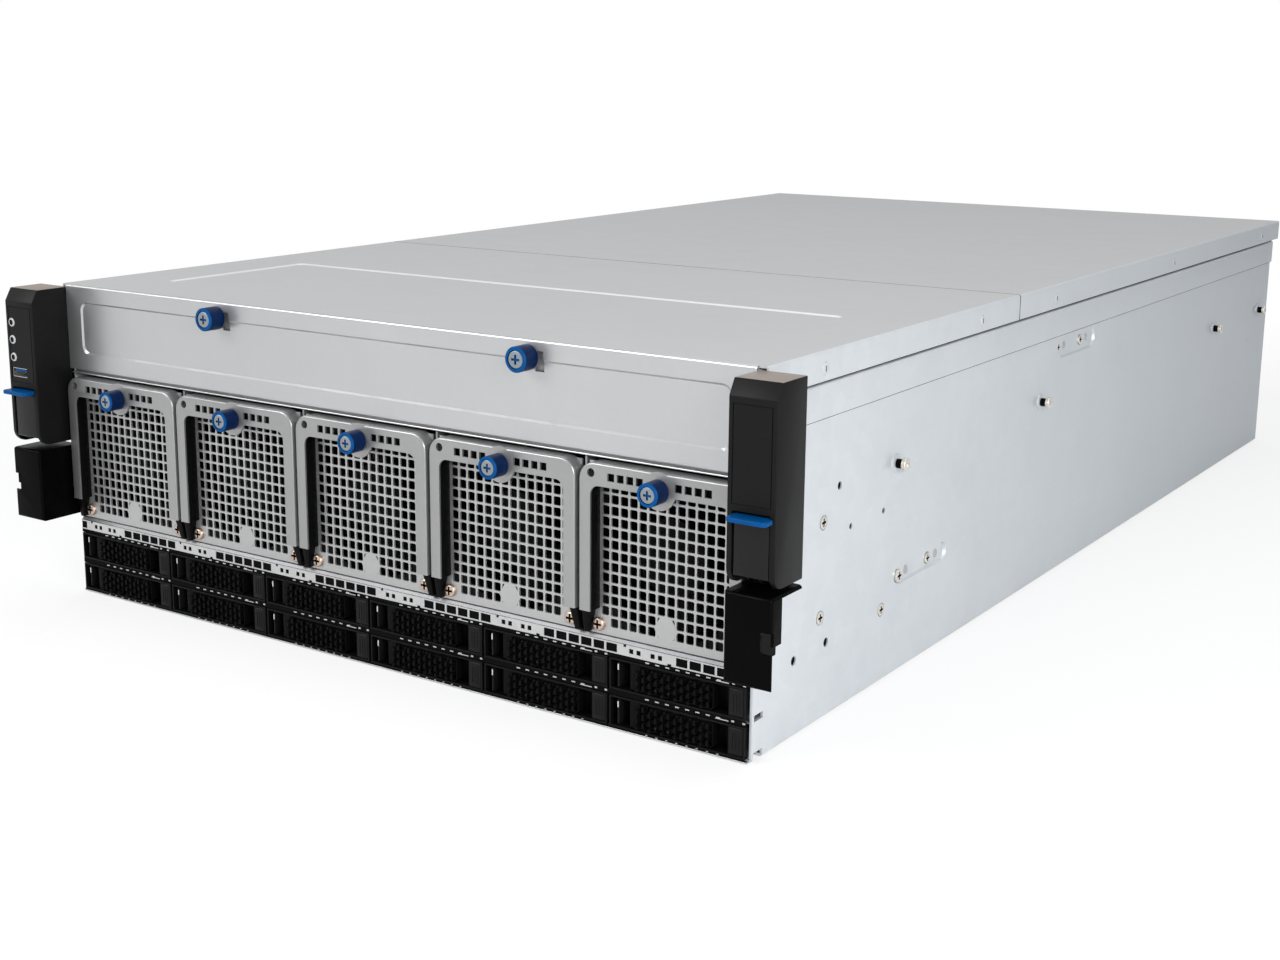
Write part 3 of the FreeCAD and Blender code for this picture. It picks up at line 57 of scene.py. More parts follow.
cover_low, cover_high = node_box("front_top_cover")
shell_low, shell_high = node_box("chassis_shell")
ear_low, ear_high = node_box("rack_ears")
FRONT = cover_low.y
REAR = shell_high.y
TOP = cover_high.z
COVER_HALF = cover_high.x
SEAM = cover_high.y
FLANGE_BOTTOM = cover_low.z
RACK_HALF = ear_high.x
WALL = 218.3
SHEET = 1.0


# Modelling helpers


def rest():
    """Leave edit mode with nothing selected."""
    if bpy.context.mode != "OBJECT":
        bpy.ops.object.mode_set(mode="OBJECT")
    bpy.ops.object.select_all(action="DESELECT")


def settle(name):
    """Name the new active piece and put its place into its mesh."""
    piece = bpy.context.object
    piece.name = name
    piece.data.name = name
    bpy.ops.object.transform_apply(location=True, rotation=True, scale=True)
    return piece


def block(name, x, y, z):
    """Box between the low and high values of each axis."""
    rest()
    size = [(pair[1] - pair[0]) * MM for pair in (x, y, z)]
    middle = [(pair[1] + pair[0]) / 2 * MM for pair in (x, y, z)]
    bpy.ops.mesh.primitive_cube_add(size=1, location=middle, scale=size)
    return settle(name)


def span(centre, width):
    return (centre - width / 2, centre + width / 2)


TURNS = {"x": (0, pi / 2, 0), "y": (pi / 2, 0, 0), "z": (0, 0, 0)}


def rod(name, axis, centre, reach, diameter, sides=32, tip=None):
    """Cylinder or cone along an axis; centre is a point whose axis value is ignored."""
    rest()
    place = list(centre)
    place["xyz".index(axis)] = (reach[0] + reach[1]) / 2
    bpy.ops.mesh.primitive_cone_add(
        vertices=sides,
        radius1=diameter / 2 * MM,
        radius2=(diameter if tip is None else tip) / 2 * MM,
        depth=(reach[1] - reach[0]) * MM,
        location=[value * MM for value in place],
        rotation=TURNS[axis],
    )
    return settle(name)


def pick(piece):
    """Make the piece the active one and the only one selected."""
    rest()
    bpy.context.view_layer.objects.active = piece
    piece.select_set(True)


def choose(piece, kind, test):
    """Edit the piece with the faces, edges or points selected that pass the test."""
    pick(piece)
    bpy.ops.object.mode_set(mode="EDIT")
    bpy.ops.mesh.select_mode(type=kind)
    bpy.ops.mesh.select_all(action="DESELECT")
    bpy.ops.object.mode_set(mode="OBJECT")
    mesh = piece.data
    points = [point.co / MM for point in mesh.vertices]
    if kind == "FACE":
        for face in mesh.polygons:
            face.select = bool(test(face.center / MM, face.normal))
    elif kind == "EDGE":
        for edge in mesh.edges:
            edge.select = bool(test(points[edge.vertices[0]], points[edge.vertices[1]]))
    else:
        for point in mesh.vertices:
            point.select = bool(test(point.co / MM))
    bpy.ops.object.mode_set(mode="EDIT")


def bevel(piece, width, segments, test):
    """Round the edges that pass the test."""
    choose(piece, "EDGE", test)
    bpy.ops.mesh.bevel(offset=width * MM, segments=segments, affect="EDGES")
    rest()
    return piece


def shift_chosen(piece, kind, test, x=0, y=0, z=0):
    """Move the faces or points that pass the test, in millimetres."""
    choose(piece, kind, test)
    bpy.ops.transform.translate(value=(x * MM, y * MM, z * MM))
    rest()
    return piece


def resize_chosen(piece, test, factors):
    """Resize the faces that pass the test about their middle."""
    choose(piece, "FACE", test)
    bpy.ops.transform.resize(value=factors)
    rest()
    return piece


def soften(piece, width, segments=2, angle=40):
    """Round every sharp edge with a bevel modifier."""
    modifier = piece.modifiers.new("soft", "BEVEL")
    modifier.width = width * MM
    modifier.segments = segments
    modifier.limit_method = "ANGLE"
    modifier.angle_limit = radians(angle)
    return finish_modifier(piece, modifier)


def finish_modifier(piece, modifier):
    """Apply a modifier to the piece's mesh."""
    pick(piece)
    bpy.ops.object.modifier_apply(modifier=modifier.name)
    rest()
    return piece


def thicken(piece, thickness):
    """Give a flat sheet its thickness towards the rear."""
    modifier = piece.modifiers.new("sheet", "SOLIDIFY")
    modifier.thickness = thickness * MM
    modifier.offset = -1
    return finish_modifier(piece, modifier)


def discard(*models):
    for model in models:
        bpy.data.objects.remove(model)


def combine(piece, tools, operation="DIFFERENCE"):
    """Cut the tools out of the piece, or unite them with it."""
    for tool in tools:
        modifier = piece.modifiers.new("combine", "BOOLEAN")
        modifier.operation = operation
        modifier.solver = "EXACT"
        modifier.object = tool
        finish_modifier(piece, modifier)
        discard(tool)
    return piece


def join(name, pieces):
    rest()
    for piece in pieces:
        piece.select_set(True)
    bpy.context.view_layer.objects.active = pieces[0]
    bpy.ops.object.join()
    joined = bpy.context.object
    joined.name = name
    rest()
    return joined


def copied(piece, name, change):
    """Copy with its own mesh, moved by a vector in millimetres or changed by a matrix."""
    twin = piece.copy()
    twin.data = piece.data.copy()
    twin.name = name
    bpy.context.scene.collection.objects.link(twin)
    if isinstance(change, Matrix):
        twin.data.transform(change)
    else:
        twin.data.transform(Matrix.Translation(Vector(change) * MM))
    return twin


def mirrored(piece, name):
    twin = copied(piece, name, Matrix.Scale(-1, 4, Vector((1, 0, 0))))
    choose(twin, "FACE", lambda centre, normal: True)
    bpy.ops.mesh.normals_make_consistent(inside=False)
    rest()
    return twin


def inset(piece, test, thickness, depth=0, individual=False):
    """Inset the faces that pass the test, and push them out by the depth."""
    choose(piece, "FACE", test)
    bpy.ops.mesh.inset(thickness=thickness * MM, depth=depth * MM, use_individual=individual)
    rest()
    return piece


def smooth(piece, angle=35):
    pick(piece)
    bpy.ops.object.shade_smooth_by_angle(angle=radians(angle))
    rest()
    return piece


def flatten(piece, angle=35):
    """Smooth the small bends and keep the wide sheet faces flat."""
    smooth(piece, angle)
    modifier = piece.modifiers.new("flat", "WEIGHTED_NORMAL")
    modifier.keep_sharp = True
    return finish_modifier(piece, modifier)


def dress(piece, body, slot, finish, *replaced):
    """Give a finished piece its material, body and the nodes it stands for; the slot argument is not used."""
    if finish is not None:
        piece.data.materials.clear()
        piece.data.materials.append(finish)
    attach(piece, body)
    if replaced:
        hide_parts(*replaced)
    return piece


def paint_faces(piece, finish, test):
    """Give the faces that pass the test a second material."""
    piece.data.materials.append(finish)
    number = len(piece.data.materials) - 1
    for face in piece.data.polygons:
        if test(face.center / MM, face.normal):
            face.material_index = number


# Shader helpers


def arithmetic(operation):
    """Python operator that adds a Math node between two values."""
    return lambda first, second: first.maker.node("Math", {"operation": operation}, {0: first, 1: second})


class Socket:
    """Output of a shader node that takes part in Python arithmetic."""

    def __init__(self, maker, output):
        self.maker = maker
        self.output = output

    __add__ = __radd__ = arithmetic("ADD")
    __sub__ = arithmetic("SUBTRACT")
    __mul__ = arithmetic("MULTIPLY")
    __truediv__ = arithmetic("DIVIDE")
    __gt__ = arithmetic("GREATER_THAN")
    __lt__ = arithmetic("LESS_THAN")

    def clamped(self):
        return self.maker.node("Clamp", {}, {0: self})


class Maker:
    """A material with one Principled shader and its nodes."""

    def __init__(self, name, **constants):
        self.material = bpy.data.materials.new(name)
        self.material.use_nodes = True
        self.tree = self.material.node_tree
        self.tree.nodes.clear()
        self.shader = self.tree.nodes.new("ShaderNodeBsdfPrincipled")
        output = self.tree.nodes.new("ShaderNodeOutputMaterial")
        self.tree.links.new(self.shader.outputs[0], output.inputs[0])
        self.set(**constants)

    def feed(self, socket, value):
        if isinstance(value, Socket):
            self.tree.links.new(value.output, socket)
        elif isinstance(value, (tuple, list)) and len(value) == 3 and len(socket.default_value) == 4:
            socket.default_value = (*value, 1)
        else:
            socket.default_value = value

    def set(self, **values):
        """Feed the shader's inputs, their names written with underscores."""
        for name, value in values.items():
            self.feed(self.shader.inputs[name.replace("_", " ")], value)

    def node(self, kind, settings, inputs, output=0):
        node = self.tree.nodes.new("ShaderNode" + kind)
        for key, value in settings.items():
            setattr(node, key, value)
        for key, value in inputs.items():
            self.feed(node.inputs[key], value)
        return Socket(self, node.outputs[output])

    def place(self, scale=(1, 1, 1)):
        """Object coordinates in millimetres, stretched by the scale."""
        coordinates = self.node("TexCoord", {}, {}, "Object")
        factors = [value / MM for value in scale]
        return self.node("VectorMath", {"operation": "MULTIPLY"}, {0: coordinates, 1: factors})

    def axis(self, letter):
        """One object coordinate in millimetres."""
        return self.node("SeparateXYZ", {}, {0: self.place()}, "xyz".index(letter))

    def noise(self, size, detail=2.0, stretch=(1, 1, 1)):
        """Noise whose blobs are about size millimetres wide."""
        inputs = {"Vector": self.place(stretch), "Scale": 1 / size, "Detail": detail}
        return self.node("TexNoise", {}, inputs)

    def cells(self, size, output="Distance"):
        """Cells about size millimetres wide."""
        return self.node("TexVoronoi", {}, {"Vector": self.place(), "Scale": 1 / size}, output)

    def shade(self, factor, first, second):
        """Colour between two colours."""
        inputs = {0: factor, 6: first, 7: second}
        return self.node("Mix", {"data_type": "RGBA"}, inputs, 2)

    def bump(self, height, strength, distance):
        inputs = {"Height": height, "Strength": strength, "Distance": distance * MM}
        self.set(Normal=self.node("Bump", {}, inputs, "Normal"))


# Finishes


def grey(value):
    return (value, value, value)


def zinc_coated(name, pale, dark, spangle=9.0, roughness=0.42, metallic=0.75, crystal=0.3, rear_shade=0.0):
    """Galvanised sheet: faint crystal patches, rolling streaks and fine grain; the last argument paints shade
    that darkens the sheet towards the rear.
    """
    maker = Maker(name, Metallic=metallic, Specular_IOR_Level=0.25)
    crystals = maker.cells(spangle, "Color")
    patch = maker.node("SeparateColor", {}, {0: crystals})
    clouds = maker.noise(70, 3)
    streaks = maker.noise(3, 2, (1, 0.03, 1))
    grain = maker.noise(0.5, 2)
    mottle = (patch * crystal + clouds * 0.9 + streaks * 0.25 + grain * 0.3 - 0.35).clamped()
    zinc = maker.shade(mottle, dark, pale)
    # Painted shade: the colour darkens towards the rear end, standing in for light that falls off there.
    if rear_shade:
        rearward_shade = ((maker.axis("y") - FRONT) / (REAR - FRONT)).clamped()
        shaded_dark = tuple(value * 0.8 for value in dark)
        zinc = maker.shade(rearward_shade * rear_shade, zinc, shaded_dark)
    maker.set(Base_Color=zinc)
    maker.set(Roughness=roughness - 0.08 + patch * 0.06 + grain * 0.1)
    maker.bump(grain * 0.6 + streaks * 0.4, 0.06, 0.1)
    return maker.material


def moulded(name, colour, roughness=0.5, grain=0.35, depth=0.05, coat=0.0, gloss=0.28):
    """Moulded plastic or paint with a fine grain."""
    maker = Maker(name, Coat_Weight=coat, Specular_IOR_Level=gloss)
    speckle = maker.noise(grain, 3)
    clouds = maker.noise(25, 2)
    bright = tuple(value * 1.35 + 0.001 for value in colour)
    maker.set(Base_Color=maker.shade(clouds, colour, bright))
    maker.set(Roughness=roughness + clouds * 0.12 - 0.06)
    maker.bump(speckle, 0.25, depth)
    return maker.material


def anodised(name, colour, roughness):
    """Bright machined or plated metal with fine turning marks."""
    maker = Maker(name, Metallic=1.0)
    marks = maker.noise(0.4, 2)
    pale = tuple(min(1.0, value * 1.15) for value in colour)
    maker.set(Base_Color=maker.shade(marks, colour, pale))
    maker.set(Roughness=roughness + marks * 0.12)
    maker.bump(marks, 0.08, 0.03)
    return maker.material


def circuit_board(name):
    """Green solder mask with a faint grid of traces and pads."""
    maker = Maker(name, Roughness=0.35, Coat_Weight=0.3)
    lanes = maker.noise(1.5, 1, (1, 0.05, 1))
    pads = maker.cells(4.0) < 0.18
    base = maker.shade(lanes > 0.55, (0.008, 0.09, 0.045), (0.015, 0.13, 0.06))
    maker.set(Base_Color=maker.shade(pads, base, (0.55, 0.5, 0.38)))
    return maker.material


# The side walls' zinc carries painted shade that darkens it towards the rear.
side_steel = zinc_coated("side_zinc", (0.635, 0.66, 0.68), (0.53, 0.565, 0.59), 9.0, 0.42, 0.4, 0.3, 0.75)
cover_steel = zinc_coated("cover_zinc", grey(0.44), grey(0.42), 14.0, 0.6, 0.0, 0.1)
flange_steel = zinc_coated("flange_zinc", (0.50, 0.505, 0.51), (0.43, 0.435, 0.44), 8.0, 0.34, 0.85, 0.08)
bracket_steel = zinc_coated("bracket_zinc", grey(0.44), grey(0.38), 6.0, 0.38, 0.75, 0.15)
# Painted highlight: a paler copy of the cover's zinc for the sloping rim of the top's pressed panel.
rim_highlight_steel = zinc_coated("rim_highlight_zinc", grey(0.62), grey(0.58), 14.0, 0.5, 0.2, 0.1)
frame_steel = zinc_coated("frame_zinc", grey(0.34), grey(0.28), 6.0, 0.36, 0.75, 0.1)
cage_steel = zinc_coated("cage_zinc", (0.40, 0.40, 0.41), (0.32, 0.32, 0.33), 8.0, 0.45, 0.7)
strip_steel = zinc_coated("strip_zinc", grey(0.55), grey(0.45), 5.0, 0.33, 0.8)
ear_plastic = moulded("ear_plastic", (0.004, 0.004, 0.0041), 0.42, gloss=0.1)
# Painted reflection: a warm brownish tone on the black ears' top faces stands for the sheen they show at a
# grazing angle.
ear_top_painted_sheen = moulded("ear_top_painted_sheen", (0.19, 0.155, 0.13), 0.4, gloss=0.3)
satin_paint = moulded("bracket_paint", grey(0.0006), 0.25, 0.6, 0.03, gloss=0.03)
latch_plastic = moulded("latch_plastic", (0.002, 0.002, 0.0022), 0.18, 0.5, 0.02, 0.2, 0.12)
carrier_plastic = moulded("carrier_plastic", grey(0.0022), 0.4, gloss=0.11)
lever_plastic = moulded("lever_plastic", (0.0018, 0.0018, 0.0019), 0.45, gloss=0.06)
pad_plastic = moulded("pad_plastic", (0.004, 0.004, 0.0041), 0.4, gloss=0.13)
fan_plastic = moulded("fan_plastic", (0.001, 0.001, 0.0011), 0.45, gloss=0.07)
# Painted shade: black for screw recesses, slots, seams, gaps and linings where shade falls.
painted_shade_black = moulded("painted_shade_black", grey(0.001), 0.7, gloss=0.05)
button_ring = moulded("button_ring", (0.35, 0.36, 0.37), 0.4)
blue_plastic = moulded("blue_plastic", (0.0001, 0.048, 0.165), 0.35, 0.5, 0.02, gloss=0.06)
# Painted shade: a darker copy of the knobs' blue plastic for their sides.
shaded_blue_plastic = moulded("shaded_blue_plastic", (0.0005, 0.009, 0.042), 0.4, 0.5, 0.02, gloss=0.08)
screw_nickel = anodised("screw_nickel", (0.68, 0.64, 0.58), 0.28)
screw_copper = anodised("screw_copper", (0.52, 0.40, 0.32), 0.3)
bright_core = anodised("bright_core", (0.23, 0.26, 0.29), 0.35)
board_green = circuit_board("board_green")
sink_metal = anodised("sink_metal", (0.62, 0.63, 0.64), 0.4)
card_paint = moulded("card_paint", (0.03, 0.03, 0.032), 0.4)

CAD_FINISHES = {
    "chassis_shell": side_steel,
    "rail_studs": screw_nickel,
    "front_cage": cage_steel,
    "rear_panel": side_steel,
    "rack_ears": ear_plastic,
    "motherboard": board_green,
    "cpu_heatsinks": sink_metal,
    "gpu_cards": card_paint,
    "front_top_cover": cover_steel,
    "rear_top_cover": cover_steel,
    "drive_carrier": carrier_plastic,
    "carrier_lever": lever_plastic,
    "fan_module": bracket_steel,
    "fan_rotor": fan_plastic,
    "fan_thumbscrew": blue_plastic,
    "cover_thumbscrew": blue_plastic,
    "ear_latch": latch_plastic,
    "power_supply": side_steel,
    "power_button": ear_plastic,
    "reset_button": ear_plastic,
    "locate_button": ear_plastic,
}
for node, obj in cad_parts.items():
    for start, finish in CAD_FINISHES.items():
        if node.startswith(start):
            obj.data.materials.clear()
            obj.data.materials.append(finish)


# Screws and knobs, modelled at the origin facing the front


def cross_tools(depth_reach, width, length):
    """Two crossed bars that cut a screwdriver recess."""
    upright = block("tool", span(0, width), depth_reach, span(0, length))
    level = block("tool", span(0, length), depth_reach, span(0, width))
    return [upright, level]


def pan_screw(name, diameter, height):
    """Pan head screw with a crossed recess, its seat at y = 0."""
    head = rod(name, "y", (0, 0, 0), (-height, 0), diameter, 28)
    bevel(head, height * 0.6, 4, lambda a, b: a.y < -height * 0.9 and b.y < -height * 0.9)
    combine(head, cross_tools((-height - 1, -height * 0.2), diameter * 0.17, diameter * 0.66))
    head.data.materials.append(screw_copper)
    # Painted shade: the crossed recess is painted black.
    paint_faces(head, painted_shade_black, lambda c, n: c.xz.length < diameter * 0.34 and c.y > -height * 0.9)
    return smooth(head)


def knurled_knob(name, diameter, length):
    """Knurled grip with rounded rims, its rear end at y = 0."""
    grip = rod(name, "y", (0, 0, 0), (-length, 0), diameter, 36)
    inset(grip, lambda centre, normal: abs(normal.y) < 0.5, 0.16, 0.0, True)
    resize_chosen(grip, lambda c, n: abs(n.y) < 0.5 and abs(c.y + length / 2) < 0.01, (0.955, 1, 0.955))
    inset(grip, lambda centre, normal: normal.y < -0.9, 0.5, 0.0)
    shift_chosen(grip, "FACE", is_knob_face, y=-0.5)
    inset(grip, is_knob_face, diameter * 0.09)
    inset(grip, is_knob_face, 0.1, -0.9)
    return smooth(grip, 30)


def is_knob_face(centre, normal):
    return normal.y < -0.9 and centre.xz.length < 0.5


def knob_core(name, diameter, length):
    """Plated screw head inside the knob, with its recess."""
    core = rod(name, "y", (0, 0, 0), (-length - 0.3, -1), diameter * 0.66, 32)
    bevel(core, 0.4, 3, lambda a, b: a.y < -length and b.y < -length)
    combine(core, cross_tools((-length - 2, -length + 0.9), diameter * 0.09, diameter * 0.36))
    core.data.materials.append(bright_core)
    # Painted shade: the crossed recess is painted black.
    paint_faces(core, painted_shade_black, lambda c, n: c.xz.length < diameter * 0.2 and c.y > -length - 0.2)
    return smooth(core)


def dress_knob(turner, knob, core):
    """Blue front ring, a grip painted darker blue as shade, and plated core on a thumbscrew's body."""
    dress(knob, turner, "knob_blue", blue_plastic, turner)
    # Painted shade: the knob's sides and back get the darker blue.
    paint_faces(knob, shaded_blue_plastic, lambda c, n: n.y > -0.3)
    dress(core, turner, "stud_nickel", None)


# Fan modules

MODULE_PITCH = 86.9
MODULE_HALF = 42.3
MODULE_LOW = 43.5
MODULE_HIGH = 124.3
FRAME_Y = FRONT - 4.8
MESH_Y = FRONT + 2.4
LEG = 6.2
LEG_END = 55.3
BAR_LOW = 114.0
MESH_COLUMNS = 14
MESH_ROWS = 13
MESH_PITCH_X = 5.0
MESH_PITCH_Z = 5.2
MESH_BAR = 1.0
KNOB_Z = 116.2
FAN_SCREW_X = 35.75
FAN_SCREW_Z = 48.0
BLANK_Z = 51.6
BRACKET_CORNER = 8.0
FAN_COUNT = 5
FAN_SIZE = 80
FAN_LENGTH = 38
FAN_DUCT = 77
FAN_KNOB = (11.3, 8.4)
KNOB_LUG = 17.2
VENT_HOLE = 3.6
VENT_OFFSETS = (10, 15, 20, 25)
VENT_Z = 118.7


def tray_block(name, inset_by, back, low):
    """Block of the bracket's outline with its two round upper corners."""
    half = MODULE_HALF - inset_by
    piece = block(name, (-half, half), (FRAME_Y + inset_by, back), (low, MODULE_HIGH - inset_by))
    corner = BRACKET_CORNER - inset_by
    return bevel(piece, corner, 6, lambda a, b: min(a.z, b.z) > MODULE_HIGH - 2 and abs(a.y - b.y) > 2)


def fan_bracket(name):
    """Folded bracket: a top bar and two legs that stand proud of the mesh."""
    outer = tray_block(name, 0, MESH_Y + SHEET, LEG_END)
    bevel(outer, 0.9, 3, lambda a, b: max(a.y, b.y) < FRAME_Y + 0.1 and (a.z + b.z) / 2 > LEG_END + 0.1)
    edge = MODULE_HALF - LEG
    window = block("tool", (-edge, edge), (FRAME_Y - 2, MESH_Y + 3), (LEG_END - 5, BAR_LOW))
    bevel(window, 4.5, 6, lambda a, b: min(a.z, b.z) > BAR_LOW - 1 and abs(a.y - b.y) > 2)
    cavity = tray_block("tool", SHEET, MESH_Y + 3, LEG_END - 5)
    combine(outer, [window, cavity])
    lug = rod("tool", "y", (0, 0, KNOB_Z), (FRAME_Y, FRAME_Y + SHEET), KNOB_LUG, 40)
    combine(outer, [lug], "UNION")
    through = (FRAME_Y - 1, FRAME_Y + 2)
    holes = []
    for offset in VENT_OFFSETS:
        for side in (-1, 1):
            holes.append(block("tool", span(side * offset, VENT_HOLE), through, span(VENT_Z, VENT_HOLE)))
    holes.append(rod("tool", "y", (-FAN_SCREW_X, 0, 119.6), through, 4.0, 24))
    combine(outer, [join("tool", holes)])
    return smooth(outer, 30)


def fan_liner(name):
    """Black plastic behind the bracket: side liners, their feet and the backing of the bar; the liners and
    the backing paint the shade inside the legs and behind the vent holes.
    """
    edge = MODULE_HALF - LEG
    pieces = []
    for side in (-1, 1):
        x = sorted((side * (edge - 0.6), side * (MODULE_HALF - SHEET - 0.2)))
        # Painted shade: the liner darkens the leg's inner side.
        liner = block("liner", x, (FRAME_Y + SHEET + 0.1, MESH_Y), (LEG_END + 0.2, BAR_LOW - 1))
        x = sorted((side * (edge + 1.4), side * MODULE_HALF))
        foot = block("foot", x, (FRAME_Y + 2.2, MESH_Y), (MODULE_LOW + 0.5, LEG_END + 0.2))
        inner = MODULE_HALF - 1
        shift_chosen(foot, "VERT", lambda p: p.z < MODULE_LOW + 1 and abs(p.x) < inner, x=side * 2.2)
        shift_chosen(foot, "VERT", lambda p: p.z < MODULE_LOW + 1 and p.y < MESH_Y - 1, y=2.0)
        pieces += [soften(liner, 0.2), soften(foot, 0.3)]
    # Painted shade: a black sheet behind the vent holes of the bar.
    pieces.append(block("bar_backing", (-30, 30), (FRAME_Y + 2.4, FRAME_Y + 2.8), (115.5, 122)))
    return smooth(join(name, pieces))


def fan_mesh(name):
    """Punched guard: a grid whose cells are inset and opened, with a solid border."""
    wide = MESH_COLUMNS * MESH_PITCH_X
    tall = MESH_ROWS * MESH_PITCH_Z
    low = BAR_LOW + 0.6 - tall
    rest()
    bpy.ops.mesh.primitive_grid_add(
        x_subdivisions=MESH_COLUMNS,
        y_subdivisions=MESH_ROWS,
        size=1,
        location=(0, MESH_Y * MM, (low + tall / 2) * MM),
        rotation=(pi / 2, 0, 0),
    )
    bpy.context.object.scale = (wide * MM, tall * MM, 1)
    mesh = settle(name)
    inset(mesh, lambda c, n: True, MESH_BAR / 2, 0, True)
    choose(mesh, "FACE", lambda c, n: at_cell_centre(c, wide, low))
    bpy.ops.mesh.bevel(offset=0.55 * MM, segments=1, affect="VERTICES")
    choose(mesh, "FACE", lambda c, n: at_cell_centre(c, wide, low) and is_open(c))
    bpy.ops.mesh.delete(type="FACE")
    rest()
    thicken(mesh, SHEET)
    half = MODULE_HALF - SHEET
    y = (MESH_Y, MESH_Y + SHEET)
    borders = [
        block("border", (-half, -wide / 2), y, (MODULE_LOW, MODULE_HIGH - SHEET)),
        block("border", (wide / 2, half), y, (MODULE_LOW, MODULE_HIGH - SHEET)),
        block("border", (-wide / 2, wide / 2), y, (MODULE_LOW, low)),
        block("border", (-wide / 2, wide / 2), y, (low + tall, MODULE_HIGH - SHEET)),
    ]
    blank = rod("blank", "y", (0, 0, BLANK_Z), (MESH_Y - 0.05, MESH_Y + SHEET), 12.4, 6)
    centre = Matrix.Translation((0, 0, BLANK_Z * MM))
    blank.data.transform(centre @ Matrix.Rotation(pi / 6, 4, "Y") @ centre.inverted())
    return join(name, [mesh, blank] + borders)


def at_cell_centre(centre, wide, low):
    """Whether a face lies in the middle of a cell of the grid."""
    across = (centre.x + wide / 2) / MESH_PITCH_X - 0.5
    up = (centre.z - low) / MESH_PITCH_Z - 0.5
    return abs(across - round(across)) < 0.05 and abs(up - round(up)) < 0.05


def is_open(centre):
    """Cells stay closed where the fan screws sit."""
    return abs(abs(centre.x) - FAN_SCREW_X) >= 5.5 or centre.z >= FAN_SCREW_Z + 4


def fan_housing(name):
    """Square fan frame with its round duct and mounting corners."""
    middle = (MODULE_LOW + MODULE_HIGH) / 2
    start = MESH_Y + SHEET
    frame_block = block(name, span(0, FAN_SIZE), (start, start + FAN_LENGTH), span(middle, FAN_SIZE))
    duct = rod("tool", "y", (0, 0, middle), (start - 1, start + FAN_LENGTH + 1), FAN_DUCT, 64)
    combine(frame_block, [duct])
    bevel(frame_block, 3, 4, lambda a, b: abs(a.y - b.y) > 30 and min(abs(a.x), abs(b.x)) > 39)
    return smooth(frame_block)


def build_fan_modules():
    frame_model = fan_bracket("bracket_model")
    frame_model.data.materials.append(frame_steel)
    mesh_model = fan_mesh("mesh_model")
    mesh_model.data.materials.clear()
    mesh_model.data.materials.append(bracket_steel)
    bracket = join("bracket_model", [frame_model, mesh_model])
    housing = join("housing_model", [fan_housing("housing_model"), fan_liner("liner_model")])
    screw = pan_screw("screw_model", 6.4, 1.8)
    seats = [(side * FAN_SCREW_X, MESH_Y, FAN_SCREW_Z) for side in (-1, 1)]
    screw_pair = join("screw_pair_model", [copied(screw, "fan_screw", seat) for seat in seats])
    knob = knurled_knob("knob_model", *FAN_KNOB)
    core = knob_core("core_model", *FAN_KNOB)
    for index in range(FAN_COUNT):
        number = str(index + 1)
        x = (index - FAN_COUNT // 2) * MODULE_PITCH
        module = "fan_module_" + number
        guard = copied(bracket, "fan_guard_" + number, (x, 0, 0))
        dress(guard, module, "fan_steel", None, module)
        dress(copied(housing, "fan_housing_" + number, (x, 0, 0)), module, "rotor_black", fan_plastic)
        dress(copied(screw_pair, "fan_screws_" + number, (x, 0, 0)), module, "stud_nickel", None)
        seat = (x, FRAME_Y - 0.3, KNOB_Z)
        grip = copied(knob, "fan_knob_" + number, seat)
        dress_knob("fan_thumbscrew_" + number, grip, copied(core, "fan_knob_core_" + number, seat))
    discard(bracket, housing, screw, screw_pair, knob, core)


build_fan_modules()


# Chassis shell

WALL_START = FRONT + 2.5
WALL_TOP = TOP - 1.3
WALL_SHEET = 1.2
BAND = (TOP - 32, TOP - 15.8)
RECESSES = ((378.0, 135.6, 61.0, 14.0), (170.5, 50.0, 60.5, 10.5))
RECESS_HEIGHTS = [recess[1] for recess in RECESSES]
RECESS_DEPTH = 1.4
RECESS_DRAFT = 1.1
WALL_HOLES = (
    (78.0, 108.6, 4.0), (90.5, 86.7, 3.0), (124.7, 86.8, 3.0),
    (68.9, 36.4, 4.4), (38.3, 36.2, 4.4),
)
WALL_SCREWS = (
    (63.2, 94.4, 6.2, 0.25), (62.4, 49.7, 6.2, 0.25), (125.8, 36.9, 6.0, 0.25), (143.0, 50.0, 6.4, 2.6),
    (180.0, 50.0, 5.6, 0.7), (350.0, 135.6, 5.6, 0.7), (386.0, 135.6, 5.6, 0.7),
)
WALL_RIVETS = ((155.0, 50.0), (190.0, 50.0), (360.0, 135.6), (396.0, 135.6), (758.0, 87.0))
FRONT_HOOKS = (51.6, 223.6)
REAR_HOOKS = (328.0, 541.5, 757.0)
COVER_SLIDE = 12.0
HOOK_SLOT = 5.8
HOOK_PIN = 5
HOOK_Z = TOP - 8


def stadium(name, distance, height, length, tall, reach, draft):
    """Slot-shaped prism through the right wall whose inner end is smaller by the draft."""
    piece = block(name, reach, span(FRONT + distance, length), span(height, tall))
    bevel(piece, tall * 0.49, 12, lambda a, b: abs(a.x - b.x) > 0.5)
    return resize_chosen(piece, lambda c, n: n.x < -0.9, (1, 1 - 2 * draft / length, 1 - 2 * draft / tall))


def both_walls(name, maker):
    """A piece made for the right wall and its mirror image, joined."""
    right = maker(name)
    return join(name, [right, mirrored(right, name)])


def wall_blocks(x, y, z):
    return both_walls("tool", lambda name: block(name, x, y, z))


def wall_recesses(swell, reach):
    """Cutters of the pressed recesses, or their swollen backings."""

    def side_recesses(name):
        tools = []
        for distance, height, length, tall in RECESSES:
            size = (length + 2 * swell, tall + 2 * swell)
            tools.append(stadium("tool", distance, height, *size, reach, RECESS_DRAFT))
        return join(name, tools)

    return both_walls("tool", side_recesses)


def wall_face(height):
    """Depth of the wall at a height: in a recess, or beside it."""
    return WALL - RECESS_DEPTH if height in RECESS_HEIGHTS else WALL


